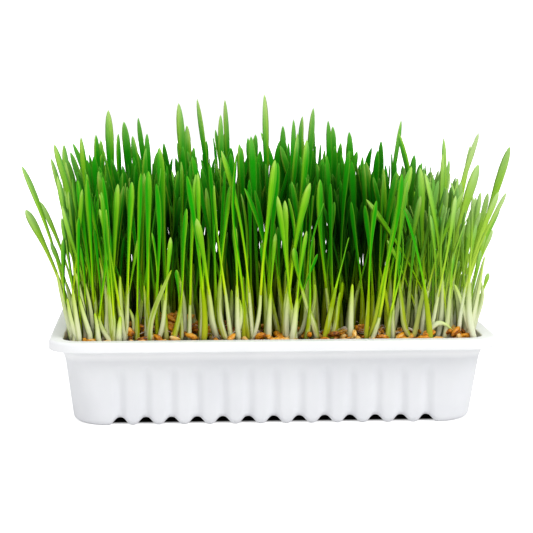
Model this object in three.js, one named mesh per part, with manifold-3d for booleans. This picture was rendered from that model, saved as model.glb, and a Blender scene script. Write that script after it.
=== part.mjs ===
// A shallow fluted plastic tray of sprouted wheatgrass: tray, growing medium, sprouted grains and seedlings.
// Millimetres, +Z up. The origin is on the table under the tray's middle; +X runs along the tray, -Y is its front.
import * as THREE from 'three';
import { mergeVertices } from 'three/addons/utils/BufferGeometryUtils.js';
import Module from 'manifold-3d';

const wasm = await Module();
wasm.setup();

// ---------------------------------------------------------------- driving dimensions

// The tray: one thin formed shell, its flat rim turned down into a skirt.
const RIM_LENGTH = 250;
const RIM_WIDTH = 160;
const TRAY_HEIGHT = 49;
const RIM_OVERHANG = 8.4; // from the wall just under the rim out to the rim's edge
const RIM_ROUND = 1.6; // the rim's outer edge
const SKIRT_DROP = 5.7;
const SHEET = 1.0;
const DRAFT = 0.1; // inward travel of a wall for each millimetre down
const CORNER_RADIUS = 10; // of the wall just under the rim, from above
const CORNER_SPREAD = 0.25; // radius gained for each millimetre down
const CORNER_STEPS = 4;
const FOOT_ROUND = 3.4; // between floor and wall
const COLLAR = 0.8; // the band under the rim stands this far out of the wall
const COLLAR_FOOT = 40.3;

// Flutes: grooves pressed into the walls. The long walls' grooves run on under the floor as channels.
const PITCH = 14.3;
const LONG_GROOVES = 13;
const END_GROOVES = 6;
const GROOVE_HALF_WIDTH = 5;
const GROOVE_HALF_CREST = 1.6;
const GROOVE_DEPTH = 2.2;
const CHANNEL_HEIGHT = 3.9;
const FLUTE_SHOULDER = 30.5; // the grooves are at full depth up to here
const FLUTE_TOP = 34.5; // and have run out here

// What fills the tray. Rows of seedlings alternate with strips of grains, and both meander along the tray.
const GAP = 0.3; // left between pieces that touch
const SOIL_TOP = 45;
const ROWS = 9;
const ROW_WIDTH = 8; // the root mat that one row of seedlings stands in
const ROW_THICKNESS = 2.4;
const EDGE_STRIP_WIDTH = 4.6; // the two grain strips along the long walls
const STRIP_THICKNESS = 1.3;
const MEANDER = 2.6;
const MEANDER_LENGTH = 17; // one radian of the wave
const MEANDER_STATIONS = 8;
const GRAIN = { halfLength: 3.7, halfWidth: 1.85, halfHeight: 1.6 };
const GRAINS_PER_STRIP = 12;

// Seedlings. The stations up one: share of its height, width in mm or as a share of the blade's, keel depth.
const SEEDLINGS = 340;
const ROOT_DEPTH = 1.4; // a seedling starts this far down in its mat
const FOOT_INSET = 2.2; // and this far inside the mat's edges
const STATIONS = [
  { share: 0, sheath: 2.9, keel: 2.2 },
  { share: 0.27, sheath: 2.3, keel: 1.7 },
  { share: 0.6, blade: 0.66, keel: 1.2 },
  { share: 0.9, blade: 1, keel: 1.1 },
];
const CLEARANCE = 0.35; // between two seedlings
const CANOPY = 151; // height that the taller seedlings reach in mid tray
const FULL_GROWTH = 105; // of a well grown seedling above the soil; a shorter one has a narrower blade
const LATE_SHARE = 0.22; // of the seedlings, those that sprouted late and are short

// Finishes.
const WHITE_PLASTIC = { color: 0xf2f3f5, roughness: 0.38, metalness: 0 };
const DARK_SOIL = { color: 0x2a1c10, roughness: 0.95, metalness: 0 };
const GOLDEN_HUSK = { color: 0xc08a34, roughness: 0.6, metalness: 0 };
const LEAF_GREEN = { color: 0x3f9a1c, roughness: 0.5, metalness: 0 };

// ---------------------------------------------------------------- helpers

/** A repeatable random number maker, 0 to 1. */
function randomFrom(seed) {
  let state = seed >>> 0;
  return () => {
    state = (state + 0x6d2b79f5) >>> 0;
    let mixed = Math.imul(state ^ (state >>> 15), state | 1);
    mixed ^= mixed + Math.imul(mixed ^ (mixed >>> 7), mixed | 61);
    return ((mixed ^ (mixed >>> 14)) >>> 0) / 2 ** 32;
  };
}

/** A random number from -1 to 1 that is most often near 0. */
function nearZero(random) {
  return random() + random() - 1;
}

/** A closed geometry as a solid that can be joined. */
function solidFrom(geometry) {
  const bare = geometry.index ? geometry.toNonIndexed() : geometry.clone();
  bare.deleteAttribute('normal');
  bare.deleteAttribute('uv');
  const merged = mergeVertices(bare, 1e-4);
  return new wasm.Manifold(new wasm.Mesh({
    numProp: 3,
    vertProperties: merged.attributes.position.array,
    triVerts: new Uint32Array(merged.index.array),
  }));
}

/** Closed solids joined into one geometry. */
function joined(solids) {
  const mesh = wasm.Manifold.union(solids).getMesh();
  return new THREE.BufferGeometry()
    .setAttribute('position', new THREE.BufferAttribute(mesh.vertProperties, 3))
    .setIndex(new THREE.BufferAttribute(mesh.triVerts, 1));
}

/** A geometry from loose triangles, each three points. */
function geometryOfTriangles(triangles) {
  return new THREE.BufferGeometry().setFromPoints(triangles.flat());
}

/** A named mesh in its own finish. */
function piece(name, geometry, finish) {
  const faceted = geometry.index ? geometry.toNonIndexed() : geometry;
  faceted.computeVertexNormals();
  const mesh = new THREE.Mesh(faceted, new THREE.MeshStandardMaterial(finish));
  mesh.name = name;
  return mesh;
}

// ---------------------------------------------------------------- rings round the tray

const SKIRT_FOOT = TRAY_HEIGHT - SKIRT_DROP;

/** The wall's outer half sizes and corner radius at a height. */
function wallAt(z) {
  const below = SKIRT_FOOT - z;
  return {
    halfX: RIM_LENGTH / 2 - RIM_OVERHANG - DRAFT * below,
    halfY: RIM_WIDTH / 2 - RIM_OVERHANG - DRAFT * below,
    radius: CORNER_RADIUS + CORNER_SPREAD * below,
  };
}

/** Places along a fluted side: each groove's two feet at depth 0 and two crests at depth 1. */
function grooveStops(count) {
  const stops = [];
  for (let i = 0; i < count; i++) {
    const middle = (i - (count - 1) / 2) * PITCH;
    stops.push({ along: middle - GROOVE_HALF_WIDTH, depth: 0 });
    stops.push({ along: middle - GROOVE_HALF_CREST, depth: 1 });
    stops.push({ along: middle + GROOVE_HALF_CREST, depth: 1 });
    stops.push({ along: middle + GROOVE_HALF_WIDTH, depth: 0 });
  }
  return stops;
}

/**
 * One ring round the tray at height z, anticlockwise from above, as four sides and four corners.
 * It has the wall's size at height size, moved out by grow. A fluted ring has points at the grooves:
 * press moves their crests inwards, and lift raises those of the two long sides.
 */
function trayRing({ z, size = z, grow = 0, press = 0, lift = 0, fluted = false }) {
  const wall = wallAt(size);
  const [halfX, halfY, radius] = [wall.halfX + grow, wall.halfY + grow, wall.radius + grow];
  const corners = [[1, -1], [1, 1], [-1, 1], [-1, -1]].map(([sideX, sideY], turn) => {
    const points = [];
    for (let step = 0; step <= CORNER_STEPS; step++) {
      const angle = (turn - 1 + step / CORNER_STEPS) * (Math.PI / 2);
      points.push(new THREE.Vector3(
        sideX * (halfX - radius) + radius * Math.cos(angle),
        sideY * (halfY - radius) + radius * Math.sin(angle),
        z,
      ));
    }
    return points;
  });
  const sides = [[0, -1], [1, 0], [0, 1], [-1, 0]].map(([outX, outY], turn) => {
    const isLong = outX === 0;
    const stops = fluted ? grooveStops(isLong ? LONG_GROOVES : END_GROOVES) : [];
    const points = stops.map(({ along, depth }) => {
      const out = (isLong ? halfY : halfX) - depth * press;
      const raised = isLong ? depth * lift : 0;
      return new THREE.Vector3(outX * out - outY * along, outY * out + outX * along, z + raised);
    });
    return [corners[(turn + 3) % 4].at(-1), ...points, corners[turn][0]];
  });
  return { sides, corners };
}

/** Triangles between two chains of points that run the same way, the first one below. */
function bridge(lower, upper, triangles) {
  let [i, j] = [0, 0];
  const share = (index, chain) => (index + 0.5) / (chain.length - 1);
  while (i < lower.length - 1 || j < upper.length - 1) {
    if (j === upper.length - 1 || (i < lower.length - 1 && share(i, lower) <= share(j, upper))) {
      triangles.push([lower[i], lower[i + 1], upper[j]]);
      i += 1;
    } else {
      triangles.push([lower[i], upper[j + 1], upper[j]]);
      j += 1;
    }
  }
}

/** Closes a ring with a floor whose channels run from the front side to the back side. */
function floor(ring, facesUp, triangles) {
  const add = (a, b, c) => triangles.push(facesUp ? [a, b, c] : [a, c, b]);
  const front = ring.sides[0];
  const back = ring.sides[2].toReversed();
  for (let i = 0; i < front.length - 1; i++) {
    add(front[i], front[i + 1], back[i + 1]);
    add(front[i], back[i + 1], back[i]);
  }
  for (const turn of [0, 2]) {
    const end = [...ring.corners[turn], ...ring.sides[turn + 1].slice(1, -1), ...ring.corners[turn + 1]];
    for (let i = 1; i < end.length - 1; i++) add(end[0], end[i], end[i + 1]);
  }
}

/** A closed skin through rings: each joined to the next, the first and the last closed by floors. */
function skin(rings) {
  const triangles = [];
  rings.slice(0, -1).forEach((ring, i) => {
    for (let turn = 0; turn < 4; turn++) {
      bridge(ring.sides[turn], rings[i + 1].sides[turn], triangles);
      bridge(ring.corners[turn], rings[i + 1].corners[turn], triangles);
    }
  });
  floor(rings[0], false, triangles);
  floor(rings.at(-1), true, triangles);
  return geometryOfTriangles(triangles);
}

// ---------------------------------------------------------------- tray

/** The tray, ring by ring: up its outside, over the rim and down its inside. */
function trayGeometry() {
  const grooves = { press: GROOVE_DEPTH, fluted: true };
  const soleGrooves = { lift: CHANNEL_HEIGHT, ...grooves };
  const heelGrooves = { lift: CHANNEL_HEIGHT / 3, ...grooves };
  const rim = { size: SKIRT_FOOT };
  const rimEdge = RIM_OVERHANG;
  const rimUnderside = TRAY_HEIGHT - SHEET;
  return skin([
    trayRing({ z: 0, grow: -FOOT_ROUND, ...soleGrooves }),
    trayRing({ z: 1.3 * FOOT_ROUND, ...heelGrooves }),
    trayRing({ z: FLUTE_SHOULDER, ...grooves }),
    trayRing({ z: FLUTE_TOP, fluted: true }),
    trayRing({ z: COLLAR_FOOT }),
    trayRing({ z: COLLAR_FOOT + COLLAR, grow: COLLAR }),
    trayRing({ z: rimUnderside - SHEET / 2, grow: COLLAR, ...rim }),
    trayRing({ z: rimUnderside - SHEET / 3, grow: rimEdge - SHEET, ...rim }),
    trayRing({ z: SKIRT_FOOT, grow: rimEdge - SHEET, ...rim }),
    trayRing({ z: SKIRT_FOOT, grow: rimEdge, ...rim }),
    trayRing({ z: TRAY_HEIGHT - RIM_ROUND, grow: rimEdge, ...rim }),
    trayRing({ z: TRAY_HEIGHT, grow: rimEdge - RIM_ROUND, ...rim }),
    trayRing({ z: TRAY_HEIGHT, grow: COLLAR + SHEET / 2, ...rim }),
    trayRing({ z: rimUnderside, grow: COLLAR - SHEET, ...rim }),
    trayRing({ z: FLUTE_TOP + SHEET / 2, grow: -SHEET, fluted: true }),
    trayRing({ z: FLUTE_SHOULDER + SHEET / 2, grow: -SHEET, ...grooves }),
    trayRing({ z: FOOT_ROUND + SHEET, grow: -SHEET, ...heelGrooves }),
    trayRing({ z: SHEET, size: 0, grow: -FOOT_ROUND - SHEET / 2, ...soleGrooves }),
  ]);
}

// ---------------------------------------------------------------- growing medium

/** The soil, kept simple: clear of the flutes low down and out to the wall above them. */
function soilGeometry() {
  const clearOfGrooves = -SHEET - GROOVE_DEPTH - GAP;
  const clearOfWall = -SHEET - GAP;
  const bed = CHANNEL_HEIGHT + SHEET + GAP;
  return skin([
    trayRing({ z: bed, grow: clearOfGrooves - FOOT_ROUND }),
    trayRing({ z: bed + FOOT_ROUND, grow: clearOfGrooves }),
    trayRing({ z: FLUTE_SHOULDER, grow: clearOfGrooves }),
    trayRing({ z: FLUTE_TOP + 2 * SHEET, grow: clearOfWall }),
    trayRing({ z: SOIL_TOP, size: SKIRT_FOOT, grow: clearOfWall }),
  ]);
}

// ---------------------------------------------------------------- rows and strips on the soil

const WALL_AT_RIM = wallAt(SKIRT_FOOT);
const BED = {
  halfX: WALL_AT_RIM.halfX - SHEET - GAP,
  halfY: WALL_AT_RIM.halfY - SHEET - GAP,
  radius: WALL_AT_RIM.radius - SHEET - GAP,
};
const ROW_PITCH = (2 * (BED.halfY - EDGE_STRIP_WIDTH - GAP) - ROW_WIDTH) / (ROWS - 1);
const MAT_BOTTOM = SOIL_TOP + GAP;

/** The straight line that a row follows before it meanders. */
function rowMiddle(row) {
  return (row - (ROWS - 1) / 2) * ROW_PITCH;
}

/** Where a point of a straight line lies once the rows meander; the tray's edges stay straight. */
function meander(x, y) {
  const calm = 1 - (y / BED.halfY) ** 2;
  return y + MEANDER * calm * Math.sin(x / MEANDER_LENGTH + 0.6);
}

/** How far a line can reach along X before it meets the tray's rounded corner. */
function reachAt(y) {
  const intoCorner = THREE.MathUtils.clamp(Math.abs(y) - (BED.halfY - BED.radius), 0, BED.radius);
  return BED.halfX - BED.radius + Math.sqrt(BED.radius ** 2 - intoCorner ** 2);
}

/** A flat ribbon on the soil between two lines that meander alike. */
function ribbon(yLow, yHigh, thickness) {
  const reach = Math.min(reachAt(yLow), reachAt(yHigh));
  const edge = (y) => Array.from({ length: MEANDER_STATIONS }, (_, i) => {
    const x = reach * (2 * i / (MEANDER_STATIONS - 1) - 1);
    return new THREE.Vector2(x, meander(x, y));
  });
  const outline = new THREE.Shape([...edge(yLow), ...edge(yHigh).reverse()]);
  const plate = new THREE.ExtrudeGeometry(outline, { depth: thickness, bevelEnabled: false });
  return solidFrom(plate.translate(0, 0, MAT_BOTTOM));
}

// ---------------------------------------------------------------- grains

/** One grain: eight faces, pointed at both ends, lying on its side. */
function grainSolid(x, y, z, yaw, pitch) {
  const shape = new THREE.OctahedronGeometry(1, 0)
    .scale(GRAIN.halfLength, GRAIN.halfWidth, GRAIN.halfHeight)
    .rotateX(Math.PI / 4)
    .rotateY(pitch)
    .rotateZ(yaw)
    .translate(x, y, z);
  return solidFrom(shape);
}

/** A strip of grains bedded in a thin layer, between two lines. */
function grainStrip(index, yLow, yHigh) {
  const random = randomFrom(400 + index);
  const reach = Math.min(reachAt(yLow), reachAt(yHigh)) - GRAIN.halfLength - 1;
  const grains = [];
  for (let i = 0; i < GRAINS_PER_STRIP; i++) {
    const x = reach * (2 * (i + 0.2 + 0.6 * random()) / GRAINS_PER_STRIP - 1);
    const turned = (random() - 0.5) * Math.PI;
    const across = GRAIN.halfLength * Math.abs(Math.sin(turned)) + GRAIN.halfWidth * Math.abs(Math.cos(turned));
    const room = Math.max(0, (yHigh - yLow) / 2 - across - GAP);
    const yaw = room > 0 ? turned : turned / 5; // a grain too long to lie across the strip lies along it
    const y = (yLow + yHigh) / 2 + (2 * random() - 1) * room;
    const z = MAT_BOTTOM + STRIP_THICKNESS + 0.4 + 0.5 * random();
    grains.push(grainSolid(x, meander(x, y), z, yaw, (random() - 0.5) * 0.3));
  }
  return joined([ribbon(yLow, yHigh, STRIP_THICKNESS), ...grains]);
}

// ---------------------------------------------------------------- seedlings

/**
 * Blades that stand out of the sward: the foot's x and row, the tip's x, y and z, and the blade's width.
 * bend is 0 for a straight stem and 1 for one that starts upright and falls away towards its tip.
 */
const STANDOUTS = [
  { foot: [-113, 1], tip: [-140, -50, 144], width: 3.4, bend: 0.5 },
  { foot: [-113, 2], tip: [-139, -33, 118], width: 4.8, bend: 0.5 },
  { foot: [-112, 3], tip: [-132, -16, 121], width: 3, bend: 1 },
  { foot: [-109, 1], tip: [-124, -49, 101], width: 2.8, bend: 0.5 },
  { foot: [-109, 5], tip: [-128, 17, 144], width: 3.2, bend: 0.5 },
  { foot: [-103, 1], tip: [-121, -50, 156], width: 4.6, bend: 1 },
  { foot: [-111, 4], tip: [-119, 0, 153], width: 4, bend: 0.2 },
  { foot: [-93, 5], tip: [-115, 17, 153], width: 3.4, bend: 1 },
  { foot: [-100, 3], tip: [-108, -18, 158], width: 4.2, bend: 0.4 },
  { foot: [-98, 6], tip: [-102, 34, 157], width: 4, bend: 0.2 },
  { foot: [-91, 4], tip: [-93, 0, 173], width: 5, bend: 0.1 },
  { foot: [-85, 7], tip: [-89, 50, 157], width: 3.4, bend: 0.3 },
  { foot: [-82, 6], tip: [-85, 33, 165], width: 5, bend: 0.3 },
  { foot: [-72, 4], tip: [-79, 0, 158], width: 4.2, bend: 0.3 },
  { foot: [-66, 5], tip: [-76, 16, 168], width: 3.6, bend: 0.5 },
  { foot: [-65, 2], tip: [-70, -33, 161], width: 4.2, bend: 0.2 },
  { foot: [-58, 1], tip: [-63, -50, 154], width: 5, bend: 0.2 },
  { foot: [-45, 4], tip: [-52, 1, 177], width: 4.8, bend: 0.4 },
  { foot: [-42, 7], tip: [-47, 50, 162], width: 4.4, bend: 0.3 },
  { foot: [-28, 5], tip: [-41, 16, 179], width: 3.2, bend: 0.4 },
  { foot: [-27, 3], tip: [-28, -17, 171], width: 3.4, bend: 0.1 },
  { foot: [-20, 6], tip: [-24, 33, 178], width: 3.4, bend: 0.5 },
  { foot: [-13, 2], tip: [-18, -33, 155], width: 4.4, bend: 0.2 },
  { foot: [-7, 1], tip: [-12, -49, 160], width: 4.4, bend: 0.2 },
  { foot: [1, 4], tip: [-2, 0, 182], width: 4.8, bend: 0.2 },
  { foot: [10, 5], tip: [10, 16, 163], width: 4, bend: 0.3 },
  { foot: [11, 3], tip: [14, -17, 168], width: 3.8, bend: 0.3 },
  { foot: [18, 6], tip: [23, 33, 168], width: 3.8, bend: 0.3 },
  { foot: [22, 4], tip: [27, 1, 174], width: 3.8, bend: 0.5 },
  { foot: [40, 5], tip: [37, 16, 166], width: 3.6, bend: 0.2 },
  { foot: [44, 7], tip: [43, 50, 161], width: 4.2, bend: 0.2 },
  { foot: [52, 4], tip: [48, 0, 160], width: 4.2, bend: 0.3 },
  { foot: [43, 1], tip: [52, -50, 152], width: 4.2, bend: 0.3 },
  { foot: [58, 3], tip: [63, -17, 150], width: 3.8, bend: 0.2 },
  { foot: [72, 6], tip: [71, 33, 153], width: 3.8, bend: 0.2 },
  { foot: [91, 3], tip: [75, -17, 160], width: 3.2, bend: 1 },
  { foot: [70, 5], tip: [81, 17, 166], width: 3.4, bend: 1 },
  { foot: [88, 1], tip: [83, -49, 142], width: 4.8, bend: 0.3 },
  { foot: [92, 2], tip: [93, -33, 136], width: 3.2, bend: 0.2 },
  { foot: [98, 3], tip: [101, -17, 148], width: 3.4, bend: 0.1 },
  { foot: [110, 4], tip: [104, 0, 156], width: 3.4, bend: 0.5 },
  { foot: [111, 5], tip: [115, 17, 130], width: 3, bend: 0.2 },
  { foot: [112, 6], tip: [126, 34, 150], width: 3, bend: 0.4 },
  { foot: [106, 5], tip: [128, 18, 158], width: 3.8, bend: 0.6 },
  { foot: [98, 1], tip: [116, -50, 144], width: 5.4, bend: 1 },
  { foot: [107, 2], tip: [125, -34, 129], width: 5, bend: 1 },
  { foot: [109, 3], tip: [141, -17, 152], width: 4.8, bend: -0.1 },
  { foot: [112, 4], tip: [130, 0, 112], width: 3, bend: 0.4 },
  { foot: [111, 2], tip: [128, -32, 105], width: 2.8, bend: 0.3 },
  { foot: [111, 1], tip: [123, -48, 82], width: 2.6, bend: -0.2 },
  { foot: [26, 0], tip: [11, -65, 99], width: 3.6, bend: -0.3 },
  { foot: [-34, 0], tip: [-43, -90, 118], width: 4.2, bend: 0.7 },
  { foot: [95, 1], tip: [52, -56, 125], width: 3.4, bend: 0.5 },
  { foot: [86, 1], tip: [64, -55, 102], width: 2.4, bend: 0.4 },
  { foot: [29, 1], tip: [35, -48, 123], width: 2.8, bend: 0.4 },
  { foot: [5, 1], tip: [3, -48, 109], width: 3, bend: 0.3 },
  { foot: [1, 1], tip: [-10, -50, 130], width: 2.8, bend: 0.6 },
  { foot: [-11, 1], tip: [-13, -50, 136], width: 2.8, bend: 0.2 },
  { foot: [-87, 1], tip: [-83, -48, 104], width: 2.4, bend: 0.6 },
  { foot: [-112, 0], tip: [-105, -65, 132], width: 3.4, bend: 0.8 },
  { foot: [-104, 0], tip: [-107, -63, 101], width: 2.4, bend: 0.3 },
  { foot: [-94, 0], tip: [-99, -63, 110], width: 2.4, bend: 0.3 },
  { foot: [-87, 0], tip: [-94, -65, 139], width: 3, bend: 0.6 },
  { foot: [-82, 0], tip: [-78, -65, 136], width: 3.9, bend: 0.5 },
  { foot: [-76, 0], tip: [-73, -65, 141], width: 2.8, bend: 0.5 },
  { foot: [-70, 0], tip: [-69, -65, 142], width: 4.4, bend: 0.3 },
  { foot: [-51, 0], tip: [-54, -63, 87], width: 2.6, bend: 0.5 },
  { foot: [-47, 0], tip: [-43, -65, 140], width: 3.9, bend: 0.7 },
  { foot: [-39, 0], tip: [-42, -65, 141], width: 2.8, bend: 0.2 },
  { foot: [-30, 0], tip: [-24, -65, 134], width: 2.9, bend: 1 },
  { foot: [-20, 0], tip: [-22, -63, 112], width: 2.8, bend: 0.3 },
  { foot: [-12, 0], tip: [-29, -65, 153], width: 3, bend: 0.9 },
  { foot: [-3, 0], tip: [1, -63, 107], width: 2.5, bend: 0.5 },
  { foot: [6, 0], tip: [20, -65, 135], width: 4.4, bend: 0.6 },
  { foot: [32, 0], tip: [37, -63, 74], width: 2.5, bend: 0 },
  { foot: [43, 0], tip: [46, -63, 117], width: 2.8, bend: 0.4 },
  { foot: [52, 0], tip: [57, -63, 125], width: 2.8, bend: 0.4 },
  { foot: [59, 0], tip: [76, -65, 144], width: 5.2, bend: 0.7 },
  { foot: [66, 0], tip: [74, -65, 136], width: 3.4, bend: 0.6 },
  { foot: [73, 0], tip: [70, -63, 97], width: 2.4, bend: 0.3 },
  { foot: [79, 0], tip: [85, -63, 81], width: 2.6, bend: 0 },
  { foot: [88, 0], tip: [100, -70, 128], width: 3, bend: 0.1 },
  { foot: [99, 0], tip: [84, -61, 140], width: 3.2, bend: 0.3 },
  { foot: [112, 0], tip: [101, -63, 78], width: 2, bend: 0.5 },
  { foot: [-20, 8], tip: [-12, 90, 124], width: 4.2, bend: 0.7 },
];

const FOOT_LEVEL = MAT_BOTTOM + ROW_THICKNESS - ROOT_DEPTH;

function standoutSeedling({ foot: [x, row], tip, width, bend }, random) {
  return {
    row,
    foot: new THREE.Vector3(x, meander(x, rowMiddle(row)), FOOT_LEVEL),
    tip: new THREE.Vector3(...tip),
    width,
    bend,
    turn: (2 * random() - 1) * 0.35,
  };
}

/** The height of the canopy over a place: uneven, and lower towards the tray's edges. */
function canopyAt(x, y) {
  const swell = 5 * Math.sin(x / 23 + 1.1) + 4 * Math.sin(x / 11 - y / 19);
  const fall = 12 * Math.abs(x / BED.halfX) ** 3 + 8 * Math.abs(y / BED.halfY) ** 3;
  return CANOPY - x / 40 + swell - fall;
}

/** A seedling drawn at random in a row. The sward fans out towards the tray's edges. */
function randomSeedling(row, random) {
  const reach = reachAt(Math.abs(rowMiddle(row)) + ROW_WIDTH / 2) - FOOT_INSET;
  const x = reach * (2 * random() - 1);
  const y = meander(x, rowMiddle(row)) + (2 * random() - 1) * (ROW_WIDTH / 2 - FOOT_INSET);
  const isLate = random() < LATE_SHARE;
  const fullHeight = (canopyAt(x, y) - SOIL_TOP) * (0.7 + 0.36 * Math.sqrt(random()));
  const height = isLate ? 28 + 45 * random() : fullHeight;
  const vigour = height / FULL_GROWTH;
  const leanX = 0.2 * (x / BED.halfX) ** 3 * (0.3 + random()) + 0.22 * nearZero(random);
  const leanY = 0.14 * (y / BED.halfY) ** 3 * (0.3 + random()) + 0.1 * nearZero(random);
  return {
    row,
    foot: new THREE.Vector3(x, y, FOOT_LEVEL),
    tip: new THREE.Vector3(x + leanX * height, y + leanY * height, SOIL_TOP + height),
    width: 1.6 + 1.9 * vigour ** 2 + random(),
    bend: -0.2 + 0.9 * random(),
    turn: 1.5 * nearZero(random),
  };
}

/** The point of a seedling's middle line at a share of its height. */
function pointOn({ foot, tip, bend }, share) {
  const across = (1 - bend) * share + bend * share * share;
  return new THREE.Vector3(
    foot.x + (tip.x - foot.x) * across,
    foot.y + (tip.y - foot.y) * across,
    foot.z + (tip.z - foot.z) * share,
  );
}

function widthsOf(seedling) {
  return STATIONS.map(({ sheath, blade }) => sheath ?? blade * seedling.width);
}

/** One seedling as a solid: a flat face in front and a keel behind, all the way up to its tip. */
function seedlingSolid(seedling) {
  const widths = widthsOf(seedling);
  const rings = STATIONS.map(({ share, keel }, i) => {
    const middle = pointOn(seedling, share);
    const up = pointOn(seedling, share + 0.05).sub(pointOn(seedling, share)).normalize();
    const across = new THREE.Vector3(Math.cos(seedling.turn), Math.sin(seedling.turn), 0);
    across.addScaledVector(up, -across.dot(up)).normalize();
    const behind = new THREE.Vector3().crossVectors(up, across);
    const front = middle.clone().addScaledVector(behind, -keel / 3);
    return [
      front.clone().addScaledVector(across, -widths[i] / 2),
      front.clone().addScaledVector(across, widths[i] / 2),
      middle.clone().addScaledVector(behind, 2 * keel / 3),
    ];
  });
  const [root, top] = [rings[0], rings.at(-1)];
  const triangles = [[root[0], root[2], root[1]]];
  for (let k = 0; k < 3; k++) {
    const next = (k + 1) % 3;
    for (let i = 0; i < rings.length - 1; i++) {
      triangles.push([rings[i][k], rings[i][next], rings[i + 1][next]]);
      triangles.push([rings[i][k], rings[i + 1][next], rings[i + 1][k]]);
    }
    triangles.push([top[k], top[next], seedling.tip]);
  }
  return solidFrom(geometryOfTriangles(triangles));
}

/** A seedling as straight stretches with a radius each, for keeping seedlings apart. */
function stretchesOf(seedling) {
  const widths = widthsOf(seedling);
  const points = STATIONS.map(({ share }) => pointOn(seedling, share));
  return points.map((from, i) => ({
    from,
    to: points[i + 1] ?? seedling.tip,
    radius: Math.max(widths[i], widths[i + 1] ?? 0) / 2,
  }));
}

/** The shortest distance between two straight stretches. */
function distanceBetween(a, b) {
  const [alongA, alongB] = [a.to.clone().sub(a.from), b.to.clone().sub(b.from)];
  const apart = a.from.clone().sub(b.from);
  const clamp = (share) => Math.min(1, Math.max(0, share));
  const [aa, bb, ab] = [alongA.lengthSq(), alongB.lengthSq(), alongA.dot(alongB)];
  const [ad, bd] = [alongA.dot(apart), alongB.dot(apart)];
  const slant = aa * bb - ab * ab;
  let shareA = slant > 1e-9 ? clamp((ab * bd - ad * bb) / slant) : 0;
  const shareB = clamp((ab * shareA + bd) / bb);
  shareA = clamp((ab * shareB - ad) / aa);
  return a.from.clone().addScaledVector(alongA, shareA).distanceTo(b.from.clone().addScaledVector(alongB, shareB));
}

/** True if two stretches keep their clearance. */
function areClear(a, b) {
  const room = a.radius + b.radius + CLEARANCE;
  for (const axis of ['x', 'y']) {
    if (Math.min(a.from[axis], a.to[axis]) - Math.max(b.from[axis], b.to[axis]) > room) return true;
    if (Math.min(b.from[axis], b.to[axis]) - Math.max(a.from[axis], a.to[axis]) > room) return true;
  }
  return distanceBetween(a, b) > room;
}

/** All seedlings: the standouts, then random ones that keep clear of every other and above the tray. */
function sow() {
  const random = randomFrom(20);
  const seedlings = STANDOUTS.map((standout) => standoutSeedling(standout, random));
  const sown = seedlings.flatMap(stretchesOf);
  for (let draw = 0; seedlings.length < SEEDLINGS; draw++) {
    const seedling = randomSeedling(draw % ROWS, random);
    const stretches = stretchesOf(seedling);
    const leansOut = Math.abs(seedling.tip.x) > RIM_LENGTH / 2;
    if (!leansOut && stretches.every((mine) => sown.every((other) => areClear(mine, other)))) {
      seedlings.push(seedling);
      sown.push(...stretches);
    }
  }
  return seedlings;
}

// ---------------------------------------------------------------- the whole

const whole = new THREE.Group();
whole.add(piece('tray', trayGeometry(), WHITE_PLASTIC));
whole.add(piece('soil', soilGeometry(), DARK_SOIL));

const seedlings = sow();
for (let row = 0; row < ROWS; row++) {
  const mat = ribbon(rowMiddle(row) - ROW_WIDTH / 2, rowMiddle(row) + ROW_WIDTH / 2, ROW_THICKNESS);
  const growing = seedlings.filter((seedling) => seedling.row === row).map(seedlingSolid);
  whole.add(piece(`seedlings_row_${row + 1}`, joined([mat, ...growing]), LEAF_GREEN));
}

for (let index = 0; index <= ROWS; index++) {
  const low = index === 0 ? -BED.halfY : rowMiddle(index - 1) + ROW_WIDTH / 2 + GAP;
  const high = index === ROWS ? BED.halfY : rowMiddle(index) - ROW_WIDTH / 2 - GAP;
  whole.add(piece(`grains_strip_${index + 1}`, grainStrip(index, low, high), GOLDEN_HUSK));
}

export default whole;
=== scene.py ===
import math

import bpy
import numpy as np
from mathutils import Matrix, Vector, noise


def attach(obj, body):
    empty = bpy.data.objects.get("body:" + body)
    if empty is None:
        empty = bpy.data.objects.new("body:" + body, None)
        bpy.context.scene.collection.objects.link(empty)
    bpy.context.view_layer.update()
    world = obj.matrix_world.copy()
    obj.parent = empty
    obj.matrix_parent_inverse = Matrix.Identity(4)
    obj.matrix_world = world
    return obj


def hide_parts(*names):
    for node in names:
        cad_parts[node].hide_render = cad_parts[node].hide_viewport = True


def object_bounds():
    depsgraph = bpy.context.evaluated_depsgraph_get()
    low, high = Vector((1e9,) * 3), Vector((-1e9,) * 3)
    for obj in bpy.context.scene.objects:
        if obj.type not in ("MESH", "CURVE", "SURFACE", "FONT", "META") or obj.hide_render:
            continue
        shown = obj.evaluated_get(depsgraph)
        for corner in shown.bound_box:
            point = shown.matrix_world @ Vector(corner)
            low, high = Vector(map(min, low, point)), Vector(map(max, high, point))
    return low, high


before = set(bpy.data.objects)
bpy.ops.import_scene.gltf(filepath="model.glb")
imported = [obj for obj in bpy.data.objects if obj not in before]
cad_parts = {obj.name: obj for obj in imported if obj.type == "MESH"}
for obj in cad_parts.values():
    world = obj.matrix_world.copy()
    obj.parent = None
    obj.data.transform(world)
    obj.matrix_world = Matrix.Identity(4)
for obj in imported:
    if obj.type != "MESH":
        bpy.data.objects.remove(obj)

cad_low, cad_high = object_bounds()


# ---------------------------------------------------------------- tray
# The tray is one sheet of white plastic, heated and drawn down into a mould. Grooves pressed into its
# walls stiffen them, and those of the long walls run on under the floor as channels. Its rim is turned
# down into a skirt all round, which the tray is carried by.

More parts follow.
